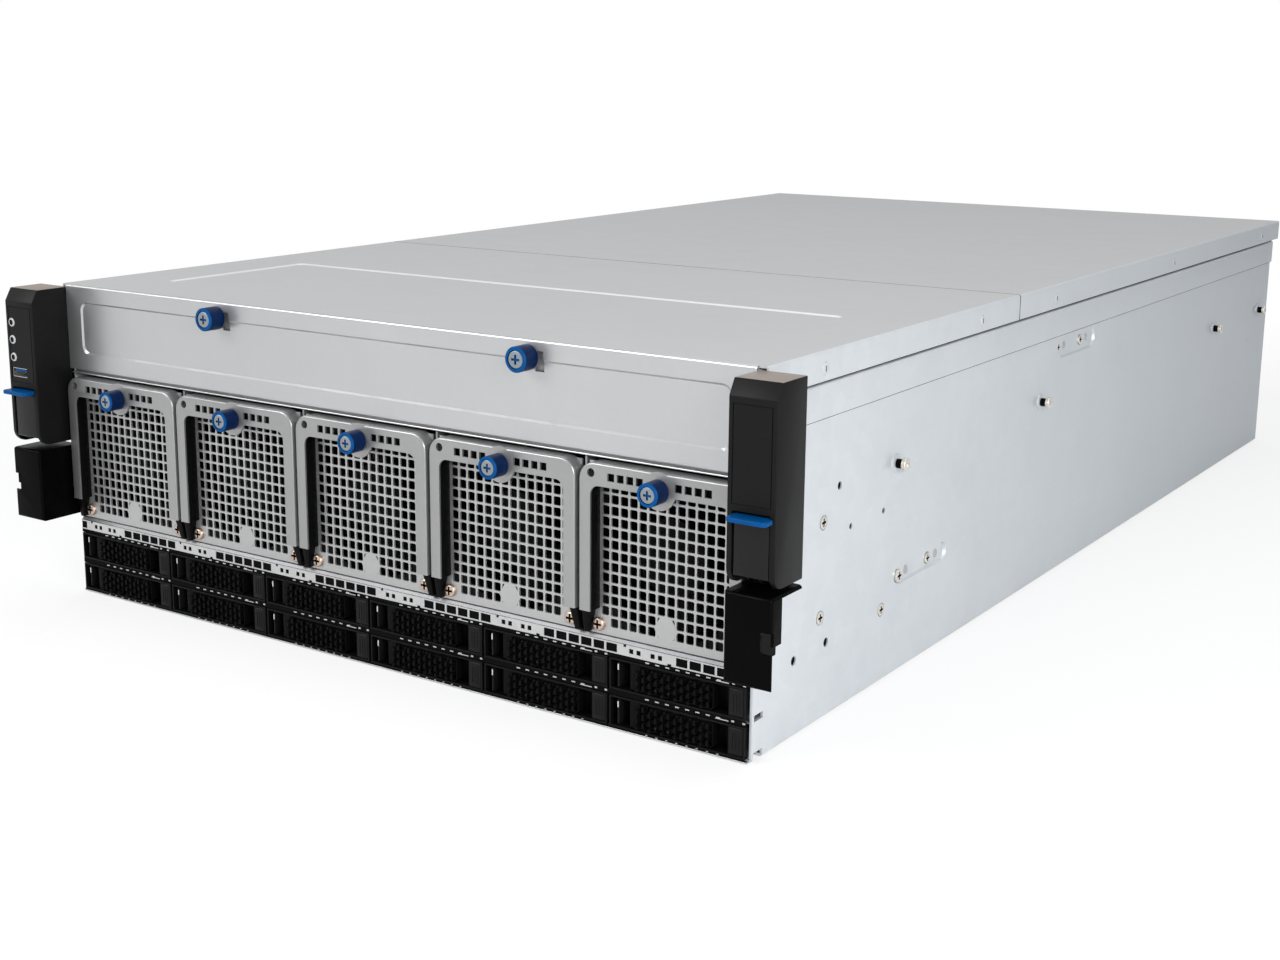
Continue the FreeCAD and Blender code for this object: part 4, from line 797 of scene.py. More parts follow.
def build_chassis():
    shell = block("chassis_walls", (-WALL, WALL), (WALL_START, REAR), (0, WALL_TOP))
    bevel(shell, 1.4, 4, lambda a, b: abs(a.y - b.y) > 100 and abs(a.x) > 200)
    inner = WALL - WALL_SHEET
    combine(shell, [block("tool", (-inner, inner), (FRONT - 1, REAR + 1), (WALL_SHEET, WALL_TOP + 1))])
    returns = wall_blocks((WALL - 11, WALL - 0.6), (WALL_START, REAR), (WALL_TOP - WALL_SHEET, WALL_TOP))
    bands = both_walls("tool", wall_band)
    backings = wall_recesses(WALL_SHEET, (WALL - RECESS_DEPTH - WALL_SHEET, WALL - 0.4))
    combine(shell, [returns, bands, backings], "UNION")
    recesses = wall_recesses(0, (WALL - RECESS_DEPTH, WALL + 0.6))
    combine(shell, [recesses, both_walls("tool", wall_cutters)])
    flatten(shell)
    dress(shell, "chassis", "galvanised_steel", side_steel, "chassis_shell")
    dress(both_walls("wall_screws", wall_screws), "chassis", "stud_nickel", None)
    dress(both_walls("wall_rivets", wall_rivets), "chassis", "galvanised_steel", flange_steel)
    # Painted shade: black strips in the wall's gaps and behind its holes.
    dress(both_walls("wall_shade_strips", wall_shade_strips), "chassis", "galvanised_steel", painted_shade_black)


def wall_band(name):
    """Proud stiffening band with a rolled upper edge."""
    band = block(name, (WALL - 0.5, WALL + 1.2), (WALL_START, REAR), BAND)
    bevel(band, 1.3, 6, lambda a, b: min(a.z, b.z) > BAND[1] - 0.1 and min(a.x, b.x) > WALL + 1)
    return bevel(band, 0.3, 2, lambda a, b: max(a.z, b.z) < BAND[0] + 0.1 and min(a.x, b.x) > WALL + 1)


def wall_shade_strips(name):
    """Black strips of painted shade in the gaps under the covers' flange and under the band, and black
    linings of painted shade behind the holes.
    """
    along = (WALL_START + 1, REAR - 1)
    upper = block(name, (WALL - 0.2, WALL + 0.3), along, (BAND[1] + 0.1, TOP - 13.2))
    lower = block("tool", (WALL - 0.2, WALL + 0.1), along, (BAND[0] - 0.6, BAND[0] + 0.1))
    pieces = [upper, lower]
    for distance, height, diameter in WALL_HOLES:
        centre = (0, FRONT + distance, height)
        pieces.append(rod("lining", "x", centre, (WALL - 1.6, WALL - 0.7), diameter + 0.8, 20))
    return join(name, pieces)


def wall_cutters(name):
    """Tools of the right wall: holes, front notches, dark rings round screws, hook slots."""
    through = (WALL - 4, WALL + 3)
    tools = []
    for distance, height, diameter in WALL_HOLES:
        tools.append(rod("tool", "x", (0, FRONT + distance, height), through, diameter, 24))
    for distance, height, length, tall in ((8.0, 19.7, 7.5, 3.0), (8.0, 1.8, 7.5, 4.4)):
        tools.append(block("tool", through, span(FRONT + distance, length), span(height, tall)))
    for distance, height, diameter, _ in WALL_SCREWS:
        reach = (wall_face(height) - 0.6, WALL + 3)
        tools.append(rod("tool", "x", (0, FRONT + distance, height), reach, diameter + 1.1, 28))
    for distances, slide in ((FRONT_HOOKS, 0), (REAR_HOOKS, COVER_SLIDE)):
        for distance in distances:
            start = FRONT + distance - HOOK_SLOT / 2
            y = (start, start + slide + HOOK_SLOT)
            slot = block("tool", (WALL - 14, WALL + 3), y, span(HOOK_Z, HOOK_SLOT))
            y = (start + slide + 0.05, start + slide + HOOK_SLOT - 0.05)
            riser = block("tool", (WALL - 13.9, WALL + 2.9), y, (HOOK_Z, WALL_TOP + 1))
            tools.append(combine(slot, [riser], "UNION"))
    return join(name, tools)


def flat_screw(name, y, z, face, diameter, proud):
    """Flush screw head on the right wall with its crossed recess."""
    head = rod(name, "x", (0, y, z), (face - 1, face + proud), diameter, 28)
    bevel(head, 0.35, 2, lambda a, b: min(a.x, b.x) > face + proud - 0.05)
    reach = (face + proud - 0.7, face + proud + 1)
    upright = block("tool", reach, span(y, diameter * 0.17), span(z, diameter * 0.62))
    level = block("tool", reach, span(y, diameter * 0.62), span(z, diameter * 0.17))
    combine(head, [upright, level])
    head.data.materials.append(screw_nickel)
    middle = Vector((0, y, z))
    near = diameter * 0.32
    depth = (face - 0.9, face + proud - 0.1)
    # Painted shade: the crossed recess is painted black.
    paint_faces(head, painted_shade_black, lambda c, n: (c - middle).yz.length < near and depth[0] < c.x < depth[1])
    return head


def wall_screws(name):
    screws = []
    for distance, height, diameter, proud in WALL_SCREWS:
        screws.append(flat_screw("screw", FRONT + distance, height, wall_face(height), diameter, proud))
    return smooth(join(name, screws))


def wall_rivets(name):
    rivets = []
    for distance, height in WALL_RIVETS:
        face = wall_face(height)
        rivet = rod("rivet", "x", (0, FRONT + distance, height), (face - 0.5, face + 0.25), 4.6, 24)
        rivets.append(bevel(rivet, 0.2, 2, lambda a, b: min(a.x, b.x) > face + 0.2))
    return smooth(join(name, rivets))


build_chassis()


# Rail studs

STUD_DISTANCES = (136.3, 323.4, 660.5, 777.8)
STUD_Z = 108.0
STUD_COLLAR = 9.0
STUD_NECK = 4.6
STUD_HEAD = 6.6
STUD_END = WALL + 6.2


def rail_stud(name, distance):
    """Shouldered stud: pale collar, a neck painted black as shade under the head, and a head that a rail's
    keyhole catches.
    """
    centre = (0, FRONT + distance, STUD_Z)
    collar = rod(name, "x", centre, (WALL - 0.2, WALL + 0.8), STUD_COLLAR, 32)
    neck = rod(name, "x", centre, (WALL, STUD_END - 1.9), STUD_NECK, 28)
    head = rod(name, "x", centre, (STUD_END - 2, STUD_END), STUD_HEAD, 32)
    bevel(head, 0.45, 3, lambda a, b: min(a.x, b.x) > STUD_END - 0.1)
    bevel(collar, 0.3, 2, lambda a, b: min(a.x, b.x) > WALL + 0.7)
    dimple = rod("tool", "x", centre, (WALL + 5.6, WALL + 7), 2.6, 6)
    combine(head, [dimple])
    # Painted shade: the neck gets black.
    for piece, finish in ((collar, side_steel), (neck, painted_shade_black), (head, screw_nickel)):
        piece.data.materials.append(finish)
    return smooth(join(name, [collar, neck, head]))


def build_rail_studs():
    for number, distance in enumerate(STUD_DISTANCES, 1):
        right = rail_stud("rail_stud_right_" + str(number), distance)
        left = mirrored(right, "rail_stud_left_" + str(number))
        dress(right, "chassis", "stud_nickel", None, "rail_studs")
        dress(left, "chassis", "stud_nickel", None, "rail_studs")


build_rail_studs()


# Top covers

PANEL_HALF = WALL - 10.8
COVER_FLANGE = 13.6
COVER_BEND = 1.3
COVER_KNOB = (12.5, 8.6)
PANEL_MARGIN = 8.5
TOP_PANEL_MARGIN = 38.5
TOP_PANEL_Y = (FRONT + 40.1, FRONT + 147.5)
SCREW_X = 100.0
SCREW_Z = TOP - 8.3


def rounded_panel(name, x, y, z, axis, radius, draft, deep):
    """Box with rounded corners round an axis and a smaller inner end."""
    panel = block(name, x, y, z)
    index = "xyz".index(axis)
    bevel(panel, radius, 6, lambda a, b: abs(a[index] - b[index]) > 0.1)
    factors = [1 - 2 * draft / (pair[1] - pair[0]) for pair in (x, y, z)]
    factors[index] = 1
    return resize_chosen(panel, lambda c, n: deep(n), factors)


def cover_shell(name, start, end):
    """Top plate and side flanges with rounded folds."""
    low = TOP - COVER_FLANGE
    cover = block(name, (-COVER_HALF, COVER_HALF), (start, end), (low, TOP))
    bevel(cover, COVER_BEND, 5, lambda a, b: abs(a.y - b.y) > 100 and min(a.z, b.z) > TOP - 1)
    inner = COVER_HALF - SHEET
    return combine(cover, [block("tool", (-inner, inner), (start - 1, end + 1), (low - 1, TOP - SHEET))])


def side_rivets(distances):
    """Slotted rivets in the right flange and the hook pins behind them."""
    rivets = []
    for distance in distances:
        centre = (0, FRONT + distance, HOOK_Z)
        ring = rod("rivet", "x", centre, (COVER_HALF - 0.5, COVER_HALF + 0.3), 5.6, 28)
        bevel(ring, 0.25, 2, lambda a, b: min(a.x, b.x) > COVER_HALF + 0.2)
        slot = block("tool", (COVER_HALF - 0.1, COVER_HALF + 1), span(centre[1], 0.9), span(HOOK_Z, 2.6))
        combine(ring, [slot])
        ring.data.materials.append(side_steel)
        # Painted shade: the rivet's slot is painted black.
        paint_faces(ring, painted_shade_black, lambda c, n: abs(c.y - centre[1]) < 0.6 and c.x < COVER_HALF + 0.2)
        rivets.append(ring)
    reach = (WALL - WALL_SHEET, COVER_HALF - 0.5)
    places = [span(FRONT + distance, HOOK_PIN) for distance in distances]
    return rivets + [block("hook", reach, place, span(HOOK_Z, HOOK_PIN)) for place in places]


def cover_rivets(name, distances):
    return smooth(both_walls(name, lambda name: join(name, side_rivets(distances))))


def front_cover_sheet():
    """Cover sheet folded down in front, with its pressed panels and corner reliefs."""
    low = FLANGE_BOTTOM
    cover = block("front_cover_sheet", (-COVER_HALF, COVER_HALF), (FRONT, SEAM), (low, TOP))
    bevel(cover, COVER_BEND, 9, lambda a, b: min(a.z, b.z) > TOP - 0.1 and is_front_or_side(a, b))
    bevel(cover, 0.35, 2, lambda a, b: is_lower_front(a, b, low))
    inner = COVER_HALF - SHEET
    flange = (WALL, COVER_HALF + 1)
    panel_x = (-PANEL_HALF, PANEL_HALF)
    panel_z = (low + PANEL_MARGIN, TOP - PANEL_MARGIN)
    top_x = (-COVER_HALF + TOP_PANEL_MARGIN, COVER_HALF - TOP_PANEL_MARGIN)
    top_z = (TOP - 0.7, TOP + 0.5)
    tools = [
        block("tool", (-inner, inner), (FRONT + SHEET, SEAM + 1), (low - 1, TOP - SHEET)),
        wall_blocks(flange, (FRONT - 1, SEAM + 1), (low - 1, TOP - COVER_FLANGE)),
        wall_blocks(flange, (FRONT - 1, FRONT + 1.8), (low - 2, TOP + 1)),
        rounded_panel("tool", panel_x, (FRONT - 0.5, FRONT + 0.8), panel_z, "y", 5, 1.5, lambda n: n.y > 0.9),
        rounded_panel("tool", top_x, TOP_PANEL_Y, top_z, "z", 4, 2.4, lambda n: n.z < -0.9),
    ]
    through = (FRONT - 1, FRONT + 3)
    for side in (-1, 1):
        x = side * SCREW_X
        tools.append(rod("tool", "y", (x, 0, SCREW_Z), through, 6, 24))
        tools.append(block("tool", (x + 3.5, x + 8.6), through, span(SCREW_Z - 1.5, 9.5)))
    return combine(cover, tools)


def is_front_or_side(a, b):
    return max(a.y, b.y) < FRONT + 0.1 or abs(a.y - b.y) > 100


def is_lower_front(a, b, low):
    """The lower front edge of the cover's flange."""
    return abs(a.x - b.x) > 100 and max(a.z, b.z) < low + 0.1 and max(a.y, b.y) < FRONT + 0.1


def build_front_cover():
    cover = front_cover_sheet()
    flatten(cover, 12)
    dress(cover, "front_cover", "cover_steel", cover_steel, "front_top_cover")
    paint_faces(cover, side_steel, lambda c, n: abs(c.x) > COVER_HALF - 0.9)
    paint_faces(cover, flange_steel, lambda c, n: c.y < FRONT + 0.9)
    # Painted highlight on the sloping rim of the pressed panel.
    paint_faces(cover, rim_highlight_steel, is_panel_rim)
    # Painted shade: the rear face of the front cover at the seam is black.
    paint_faces(cover, painted_shade_black, lambda c, n: n.y > 0.9 and c.y > SEAM - 0.1)
    dress(cover_rivets("front_cover_rivets", FRONT_HOOKS), "front_cover", "cover_steel", None)
    for side, label in ((-1, "left"), (1, "right")):
        seat = (side * SCREW_X, FRONT - 0.4, SCREW_Z)
        knob = knurled_knob("cover_knob_" + label, *COVER_KNOB)
        core = knob_core("cover_knob_core_" + label, *COVER_KNOB)
        dress_knob("cover_thumbscrew_" + label, shifted(knob, seat), shifted(core, seat))


def is_panel_rim(centre, normal):
    """The sloping rim of the top's pressed panel, which gets a painted highlight."""
    return 0.2 < normal.z < 0.97 and centre.y > FRONT + 30 and abs(centre.x) < COVER_HALF - 30


def shifted(piece, place):
    """Move a piece inside its own mesh."""
    piece.data.transform(Matrix.Translation(Vector(place) * MM))
    return piece


def build_rear_cover():
    cover = flatten(cover_shell("rear_cover_sheet", SEAM + 0.8, REAR))
    dress(cover, "rear_cover", "cover_steel", cover_steel, "rear_top_cover")
    paint_faces(cover, side_steel, lambda c, n: abs(c.x) > COVER_HALF - 0.9)
    # Painted shade: the front face at the seam and a black strip under it stand for the gap between the
    # covers.
    paint_faces(cover, painted_shade_black, lambda c, n: n.y < -0.9 and c.y < SEAM + 1)
    across = (-WALL + 12, WALL - 12)
    backing = block("cover_seam_shade_backing", across, (SEAM - 1, SEAM + 4), (TOP - 1.5, TOP - 1.05))
    dress(backing, "rear_cover", "cover_steel", painted_shade_black)
    dress(cover_rivets("rear_cover_rivets", REAR_HOOKS), "rear_cover", "cover_steel", None)


build_front_cover()
build_rear_cover()


# Deck strip over the drive bays

COLUMN_PITCH = 72.3
COLUMNS = 6
CARRIER_WIDTH = 70.9
CARRIER_HEIGHT = 14.8
ROWS_LOW = (1.7, 19.5)
STRIP_Z = (36.5, 41.7)
CAGE_HALF = WALL - 1.5
WINDOW_START = 36.1
WINDOW_PITCH = 7.0
WINDOW_WIDTH = 5.9
WINDOW_COUNT = 6
PINHOLES = (12.4, 16.3, 23.8, 27.7)
TAB_START = 21
TAB_PITCH = 5.3
TAB_COUNT = 8


def column_left(column):
    """Left edge of a drive column, midway between two carriers."""
    return (column - COLUMNS / 2) * COLUMN_PITCH


def build_deck_strip():
    """Bright strip with its windows, pinholes and notches, and a black backing behind it that paints the
    shade seen through them.
    """
    plates = []
    middle = sum(STRIP_Z) / 2
    bottom, top = STRIP_Z
    through = (FRONT - 1, FRONT + 2)
    for column in range(COLUMNS):
        left = column_left(column)
        start = -CAGE_HALF if column == 0 else left
        end = CAGE_HALF if column == COLUMNS - 1 else left + COLUMN_PITCH
        plate = block("strip", (start, end), (FRONT + 0.1, FRONT + 0.5), STRIP_Z)
        tools = []
        for number in range(WINDOW_COUNT):
            for shift in (0, -COLUMN_PITCH):
                place = left + WINDOW_START + WINDOW_PITCH * number + shift
                low = max(place, start - 1)
                high = min(place + WINDOW_WIDTH, end + 1)
                if high > start + 0.3 and low < end - 0.3 and high - low > 1:
                    tools.append(block("tool", (low, high), through, span(middle, 3.9)))
        for offset in PINHOLES:
            tools.append(block("tool", span(left + offset, 2.2), through, span(middle, 2.2)))
        tools.append(block("tool", (left + 8.2, left + 9.6), through, (top - 1.1, top + 1)))
        tools.append(block("tool", (left + 31.6, left + 33.6), through, (bottom - 1, bottom + 0.9)))
        plates.append(combine(plate, [join("tool", tools)]))
    dress(join("deck_strip", plates), "chassis", "cage_steel", strip_steel)
    # Painted shade: a black sheet behind the strip's openings.
    depth = (FRONT + 0.53, FRONT + 0.58)
    backing = block("deck_strip_shade_backing", (-CAGE_HALF, CAGE_HALF), depth, (bottom - 0.1, top + 0.1))
    dress(backing, "chassis", "cage_steel", painted_shade_black)


def front_tab(x, width, depth, z, tall):
    """Small plate at the front; the depth counts from the front face."""
    return block("tab", span(x, width), (FRONT + depth[0], FRONT + depth[1]), span(z, tall))


def build_bay_tabs():
    """Black strips of painted shade at the shelf, deck and floor edges, small bright tabs between the rows,
    and the bright floor lip.
    """
    across = (-CAGE_HALF, CAGE_HALF)
    # Painted shade: black strips in the gaps between the rows of carriers.
    edges = [
        block("shelf_edge", across, (FRONT + 0.4, FRONT + 0.58), (16.75, 19.25)),
        block("deck_edge", across, (FRONT + 0.4, FRONT + 0.58), (34.55, STRIP_Z[0])),
        block("floor_edge", across, (FRONT + 0.25, FRONT + 0.45), (0.7, 1.6)),
    ]
    dress(join("shelf_edge_shade", edges), "chassis", "cage_steel", painted_shade_black)
    tabs = []
    for column in range(COLUMNS):
        left = column_left(column)
        places = [left + TAB_START + TAB_PITCH * number for number in range(TAB_COUNT)]
        for height in (18.2, 35.4):
            for place in places:
                tabs.append(front_tab(place, 2.0, (0.1, 0.42), height, 0.55))
            tabs.append(front_tab(left + 60, 6.5, (0.05, 0.42), height - 0.4, 0.4))
            for offset in (65.5, 71.0):
                tabs.append(front_tab(left + offset, 1.3, (0.05, 0.42), height, 0.8))
        for place in places:
            tabs.append(front_tab(place, 1.0, (-0.1, 0.3), 1.35, 0.45))
    dress(join("bay_contact_tabs", tabs), "chassis", "cage_steel", strip_steel)
    lip = block("floor_lip", (-WALL + 1, WALL - 1), (FRONT - 0.1, FRONT + 2.5), (0.05, 0.75))
    dress(soften(lip, 0.2), "chassis", "cage_steel", flange_steel)
    seam = block("module_seam_lip", (-WALL + 2, WALL - 2), (FRONT - 0.4, FRONT + 1.5), (126.0, 126.7))
    dress(soften(seam, 0.2), "chassis", "cage_steel", strip_steel)


build_deck_strip()
build_bay_tabs()


# Drive carriers and their levers

HEX_RADIUS = 2.25
HEX_WALL = 0.5
LEVER_FACE = 1.0
LEVER_Z = (1.2, 13.6)
RIB_X = 4.7
PAD_X = 66.3


def honeycomb(name, x, z, depth):
    """Sheet of hexagonal cells, inset, opened, trimmed and thickened."""
    cells = []
    columns = int((x[1] - x[0]) / (1.5 * HEX_RADIUS)) + 2
    rise = sqrt(3) * HEX_RADIUS
    rows = int((z[1] - z[0]) / rise) + 2
    for column in range(columns):
        for row in range(rows):
            rest()
            centre_x = x[0] + column * 1.5 * HEX_RADIUS
            centre_z = z[0] + (row + (column % 2) / 2) * rise
            bpy.ops.mesh.primitive_circle_add(
                vertices=6,
                radius=HEX_RADIUS * MM,
                fill_type="NGON",
                location=(centre_x * MM, depth[0] * MM, centre_z * MM),
                rotation=(pi / 2, 0, pi / 2),
            )
            cells.append(settle("cell"))
    sheet = join(name, cells)
    choose(sheet, "FACE", lambda c, n: True)
    bpy.ops.mesh.remove_doubles(threshold=0.02 * MM)
    bpy.ops.mesh.normals_make_consistent(inside=False)
    bpy.ops.mesh.inset(thickness=HEX_WALL * MM, depth=0, use_individual=True)
    bpy.ops.mesh.delete(type="FACE")
    trims = (
        ((x[0], 0, 0), (-1, 0, 0)), ((x[1], 0, 0), (1, 0, 0)),
        ((0, 0, z[0]), (0, 0, -1)), ((0, 0, z[1]), (0, 0, 1)),
    )
    for point, normal in trims:
        bpy.ops.mesh.select_all(action="SELECT")
        bpy.ops.mesh.bisect(plane_co=[value * MM for value in point], plane_no=normal, clear_outer=True)
    rest()
    choose(sheet, "FACE", lambda c, n: n.y > 0)
    bpy.ops.mesh.flip_normals()
    rest()
    return thicken(sheet, depth[1] - depth[0])


def lever_model(name):
    """Pull lever at the origin of its carrier: lip, honeycomb grip, frame and knuckle."""
    low, high = LEVER_Z
    comb = honeycomb(name, (16.0, 54.0), (low + 0.5, high - 0.5), (LEVER_FACE, LEVER_FACE + 1.4))
    lip = block("lip", (10.7, 16.2), (LEVER_FACE - 0.3, LEVER_FACE + 2.4), (low, high))
    soften(lip, 0.5, 3)
    rails = []
    for z in (low, high - 0.7):
        rails.append(block("rail", (15.5, 54.5), (LEVER_FACE, LEVER_FACE + 5.5), (z, z + 0.7)))
    rails.append(block("rail", (53.8, 54.5), (LEVER_FACE, LEVER_FACE + 5.5), (low, high)))
    knuckle = rod("knuckle", "z", (13.0, 4.0, 0), (low, high), 6.0, 24)
    return smooth(join(name, [comb, lip, knuckle] + rails))


def carrier_trim(name):
    """Rib, release pad and the pad's grip ridges of a carrier, at its origin."""
    rib = block(name, span(RIB_X, 1.0), (0.4, 7.0), (1.6, 13.2))
    soften(rib, 0.3, 2)
    pad = block("pad", (62.6, 70.0), (0.05, 3.5), (1.1, 13.7))
    soften(pad, 0.7, 3)
    grips = []
    for number in range(3):
        grips.append(block("grip", span(PAD_X + 1.6 * (number - 1), 0.5), (-0.12, 0.5), (3.5, 11.3)))
    return smooth(join(name, [rib, pad] + grips))


def build_carriers():
    lever = lever_model("lever_model")
    trim = carrier_trim("trim_model")
    tip = block("tip_model", span(RIB_X, 0.7), (0.2, 1.2), (9.6, 12.4))
    number = 1
    for low in ROWS_LOW:
        for column in range(COLUMNS):
            label = str(number)
            middle = column_left(column) + COLUMN_PITCH / 2
            origin = (middle - CARRIER_WIDTH / 2, FRONT, low)
            carrier = "drive_carrier_" + label
            handle = "carrier_lever_" + label
            dress(copied(lever, "lever_" + label, origin), handle, "lever_grey", lever_plastic, handle)
            dress(copied(trim, "carrier_trim_" + label, origin), carrier, "carrier_black", pad_plastic)
            dress(copied(tip, "carrier_rib_tip_" + label, origin), carrier, "carrier_black", screw_nickel)
            number += 1
    discard(lever, trim, tip)


build_carriers()


# Rack ears

EAR_IN = WALL + 0.3
EAR_FACE = FRONT - 22.8
EAR_BACK = FRONT + 1.5
EAR_LOW = TOP - 87.4
EAR_HIGH = TOP - 1.7
EAR_CHAMFER = (4, 6.8)
LATCH_Z = (91.5, 118.8)
LATCH_PIVOT = (0, FRONT - 15.4, 95.1)
PORT = (-RACK_HALF + 8.8, 127.2)
BUTTON_X = -RACK_HALF + 4.7
BUTTONS = (("power_button", 154.8), ("reset_button", 145.3), ("locate_button", 135.6))


def ear_housing(name):
    """Right ear housing with its chamfered top, rounded foot and latch pocket."""
    ear = block(name, (EAR_IN, RACK_HALF), (EAR_FACE, EAR_BACK), (EAR_LOW, EAR_HIGH))
    choose(ear, "FACE", lambda c, n: True)
    bpy.ops.mesh.bisect(plane_co=(0, 0, (EAR_HIGH - EAR_CHAMFER[1]) * MM), plane_no=(0, 0, 1))
    shift_chosen(ear, "VERT", lambda p: p.y < EAR_FACE + 0.1 and p.z > EAR_HIGH - 1, y=EAR_CHAMFER[0])
    bevel(ear, 7, 8, is_ear_foot)
    soften(ear, 0.5, 3, 25)
    pocket_x = (EAR_IN + 2.4, RACK_HALF - 2.4)
    return combine(ear, [block("tool", pocket_x, (EAR_FACE - 1, FRONT - 9.2), (EAR_LOW - 1, 119.1))])


def is_ear_foot(a, b):
    """The lower front edge of an ear."""
    return abs(a.x - b.x) > 5 and max(a.y, b.y) < EAR_FACE + 0.1 and max(a.z, b.z) < EAR_LOW + 0.1


def ear_groove(name):
    """Thin frame that cuts the outline of the front inset panel."""
    x = (EAR_IN + 2.0, RACK_HALF - 2.0)
    z = (121.8, EAR_HIGH - 9.6)
    outer = block(name, x, (EAR_FACE - 0.5, EAR_FACE + 0.35), z)
    inner = block("tool", (x[0] + 0.5, x[1] - 0.5), (EAR_FACE - 1, EAR_FACE + 1), (z[0] + 0.5, z[1] - 0.5))
    return combine(outer, [inner])


def ear_bracket(name):
    """Right lower bracket: folded satin black sheet with its notch and flanges."""
    lead = FRONT - 24
    low, high = EAR_LOW - 42.4, EAR_LOW - 2.6
    body = block(name, (EAR_IN, RACK_HALF), (lead, EAR_BACK), (low, high))
    bevel(body, 1.6, 4, lambda a, b: max(a.y, b.y) < lead + 0.1 or is_outer_top(a, b, high))
    inside = block("tool", (EAR_IN + 1.5, RACK_HALF - 1.5), (lead + 1.5, EAR_BACK + 1), (low - 1, high - 1.5))
    bevel(inside, 0.6, 3, lambda a, b: max(a.y, b.y) < lead + 1.6)
    outer = (RACK_HALF - 2.2, RACK_HALF + 1)
    side_end = block("tool", outer, (lead + 8.7, EAR_BACK + 1), (low - 1, high - 1.5))
    under = block("tool", outer, (lead + 1.5, EAR_BACK + 1), (low - 1, low + 18.8))
    notch = block("tool", (RACK_HALF - 4.9, RACK_HALF + 1), (lead - 1, lead + 2.4), (low + 15.6, low + 25))
    bevel(notch, 1.2, 4, lambda a, b: abs(a.y - b.y) > 1 and max(a.x, b.x) < RACK_HALF - 4)
    combine(body, [inside, side_end, under, notch])
    wall_flange = block("tool", (EAR_IN, EAR_IN + 1.5), (EAR_BACK - 0.1, EAR_BACK + 17), (low, EAR_LOW - 0.3))
    return smooth(join(name, [body, wall_flange]), 30)


def is_outer_top(a, b, high):
    return min(a.z, b.z) > high - 0.1 and min(a.x, b.x) > RACK_HALF - 0.1


def ear_plate(name):
    """Right steel angle behind the housing."""
    low, high = EAR_LOW + 2, TOP - 32.3
    face = block(name, (EAR_IN, RACK_HALF - 2), (EAR_BACK, EAR_BACK + 1.5), (low, high))
    flange = block("tool", (EAR_IN, EAR_IN + 1.5), (EAR_BACK, EAR_BACK + 34), (low, high))
    return join(name, [face, flange])


def build_ears():
    right = ear_housing("ear_housing_right")
    left = mirrored(right, "ear_housing_left")
    combine(right, [ear_groove("tool")])
    combine(left, [mirrored(ear_groove("groove_model"), "tool")])
    discard(bpy.data.objects["groove_model"])
    tools = [block("tool", span(PORT[0], 12.6), (EAR_FACE - 1, EAR_FACE + 12), span(PORT[1], 5.2))]
    for name, height in BUTTONS:
        tools.append(rod("tool", "y", (BUTTON_X, 0, height), (EAR_FACE - 1, EAR_FACE + 5), 5.3, 32))
    combine(left, tools)
    for housing in (right, left):
        smooth(housing, 30)
        dress(housing, "chassis", "ear_black", ear_plastic, "rack_ears")
        # Painted reflection on the ears' top faces.
        paint_faces(housing, ear_top_painted_sheen, lambda c, n: n.z > 0.9 and c.z > EAR_HIGH - 0.6)
    for label, maker in (("ear_lower_brackets", ear_bracket), ("ear_plates", ear_plate)):
        dress(both_walls(label, maker), "chassis", "ear_black", satin_paint, "rack_ears")
    dress(both_walls("ear_bracket_screws", bracket_screw), "chassis", "stud_nickel", None)
    build_port()


def bracket_screw(name):
    return smooth(flat_screw(name, FRONT - 19.6, 76.8, RACK_HALF - 0.75, 6.0, 0.7))


def build_port():
    """Steel shell and blue tongue of the front port."""
    x, z = PORT
    shell = block("front_port_shell", span(x, 12.4), (EAR_FACE + 0.6, EAR_FACE + 11.5), span(z, 5.0))
    hollow = block("tool", span(x, 11.8), (EAR_FACE, EAR_FACE + 10.5), span(z, 4.4))
    combine(shell, [hollow])
    dress(shell, "chassis", "stud_nickel", screw_nickel)
    tongue = block("front_port_tongue", span(x, 10.2), (EAR_FACE + 1.2, EAR_FACE + 10.6), (z + 0.4, z + 1.9))
    soften(tongue, 0.3, 2)
    dress(tongue, "chassis", "knob_blue", blue_plastic)


build_ears()


# Ear latches


def latch_flap(name):
    """Right latch flap with its web and pivot boss."""
    x = (EAR_IN + 2.8, RACK_HALF - 2.8)
    face = EAR_FACE + 0.5
    flap = block(name, x, (face, face + 2.6), (LATCH_Z[0], LATCH_Z[1] - 3.0))
    soften(flap, 0.8, 4)
    boss = rod("boss", "x", LATCH_PIVOT, (x[0] + 0.2, x[1] - 0.2), 8.4, 32)
    web = block("web", (x[0] + 1, x[1] - 1), (face + 1, LATCH_PIVOT[1]), span(LATCH_PIVOT[2], 5.9))
    return smooth(join(name, [flap, boss, web]))


def latch_tab(name):
    """Right finger tab, a rounded blue tongue."""
    x = (EAR_IN + 2.8, RACK_HALF - 1.0)
    tab = block(name, x, (EAR_FACE - 6.7, EAR_FACE + 3.1), (LATCH_Z[1] - 3.0, LATCH_Z[1] - 0.9))
    bevel(tab, 2.2, 5, lambda a, b: abs(a.z - b.z) > 1 and max(a.y, b.y) < EAR_FACE)
    soften(tab, 0.5, 3)
    tall = (LATCH_Z[1] - 5, LATCH_Z[1] + 2)
    combine(tab, [block("tool", (RACK_HALF - 2.8, RACK_HALF), (EAR_FACE - 0.4, EAR_FACE + 6), tall)])
    return smooth(tab)


def build_latches():
    flap = latch_flap("latch_flap_right")
    tab = latch_tab("latch_tab_right")
    left_flap = mirrored(flap, "latch_flap_left")
    left_tab = mirrored(tab, "latch_tab_left")
    for side, plate, tongue in (("right", flap, tab), ("left", left_flap, left_tab)):
        node = "ear_latch_" + side
        dress(plate, node, "latch_black", latch_plastic, node)
        dress(tongue, node, "knob_blue", blue_plastic)


build_latches()


# Ear buttons


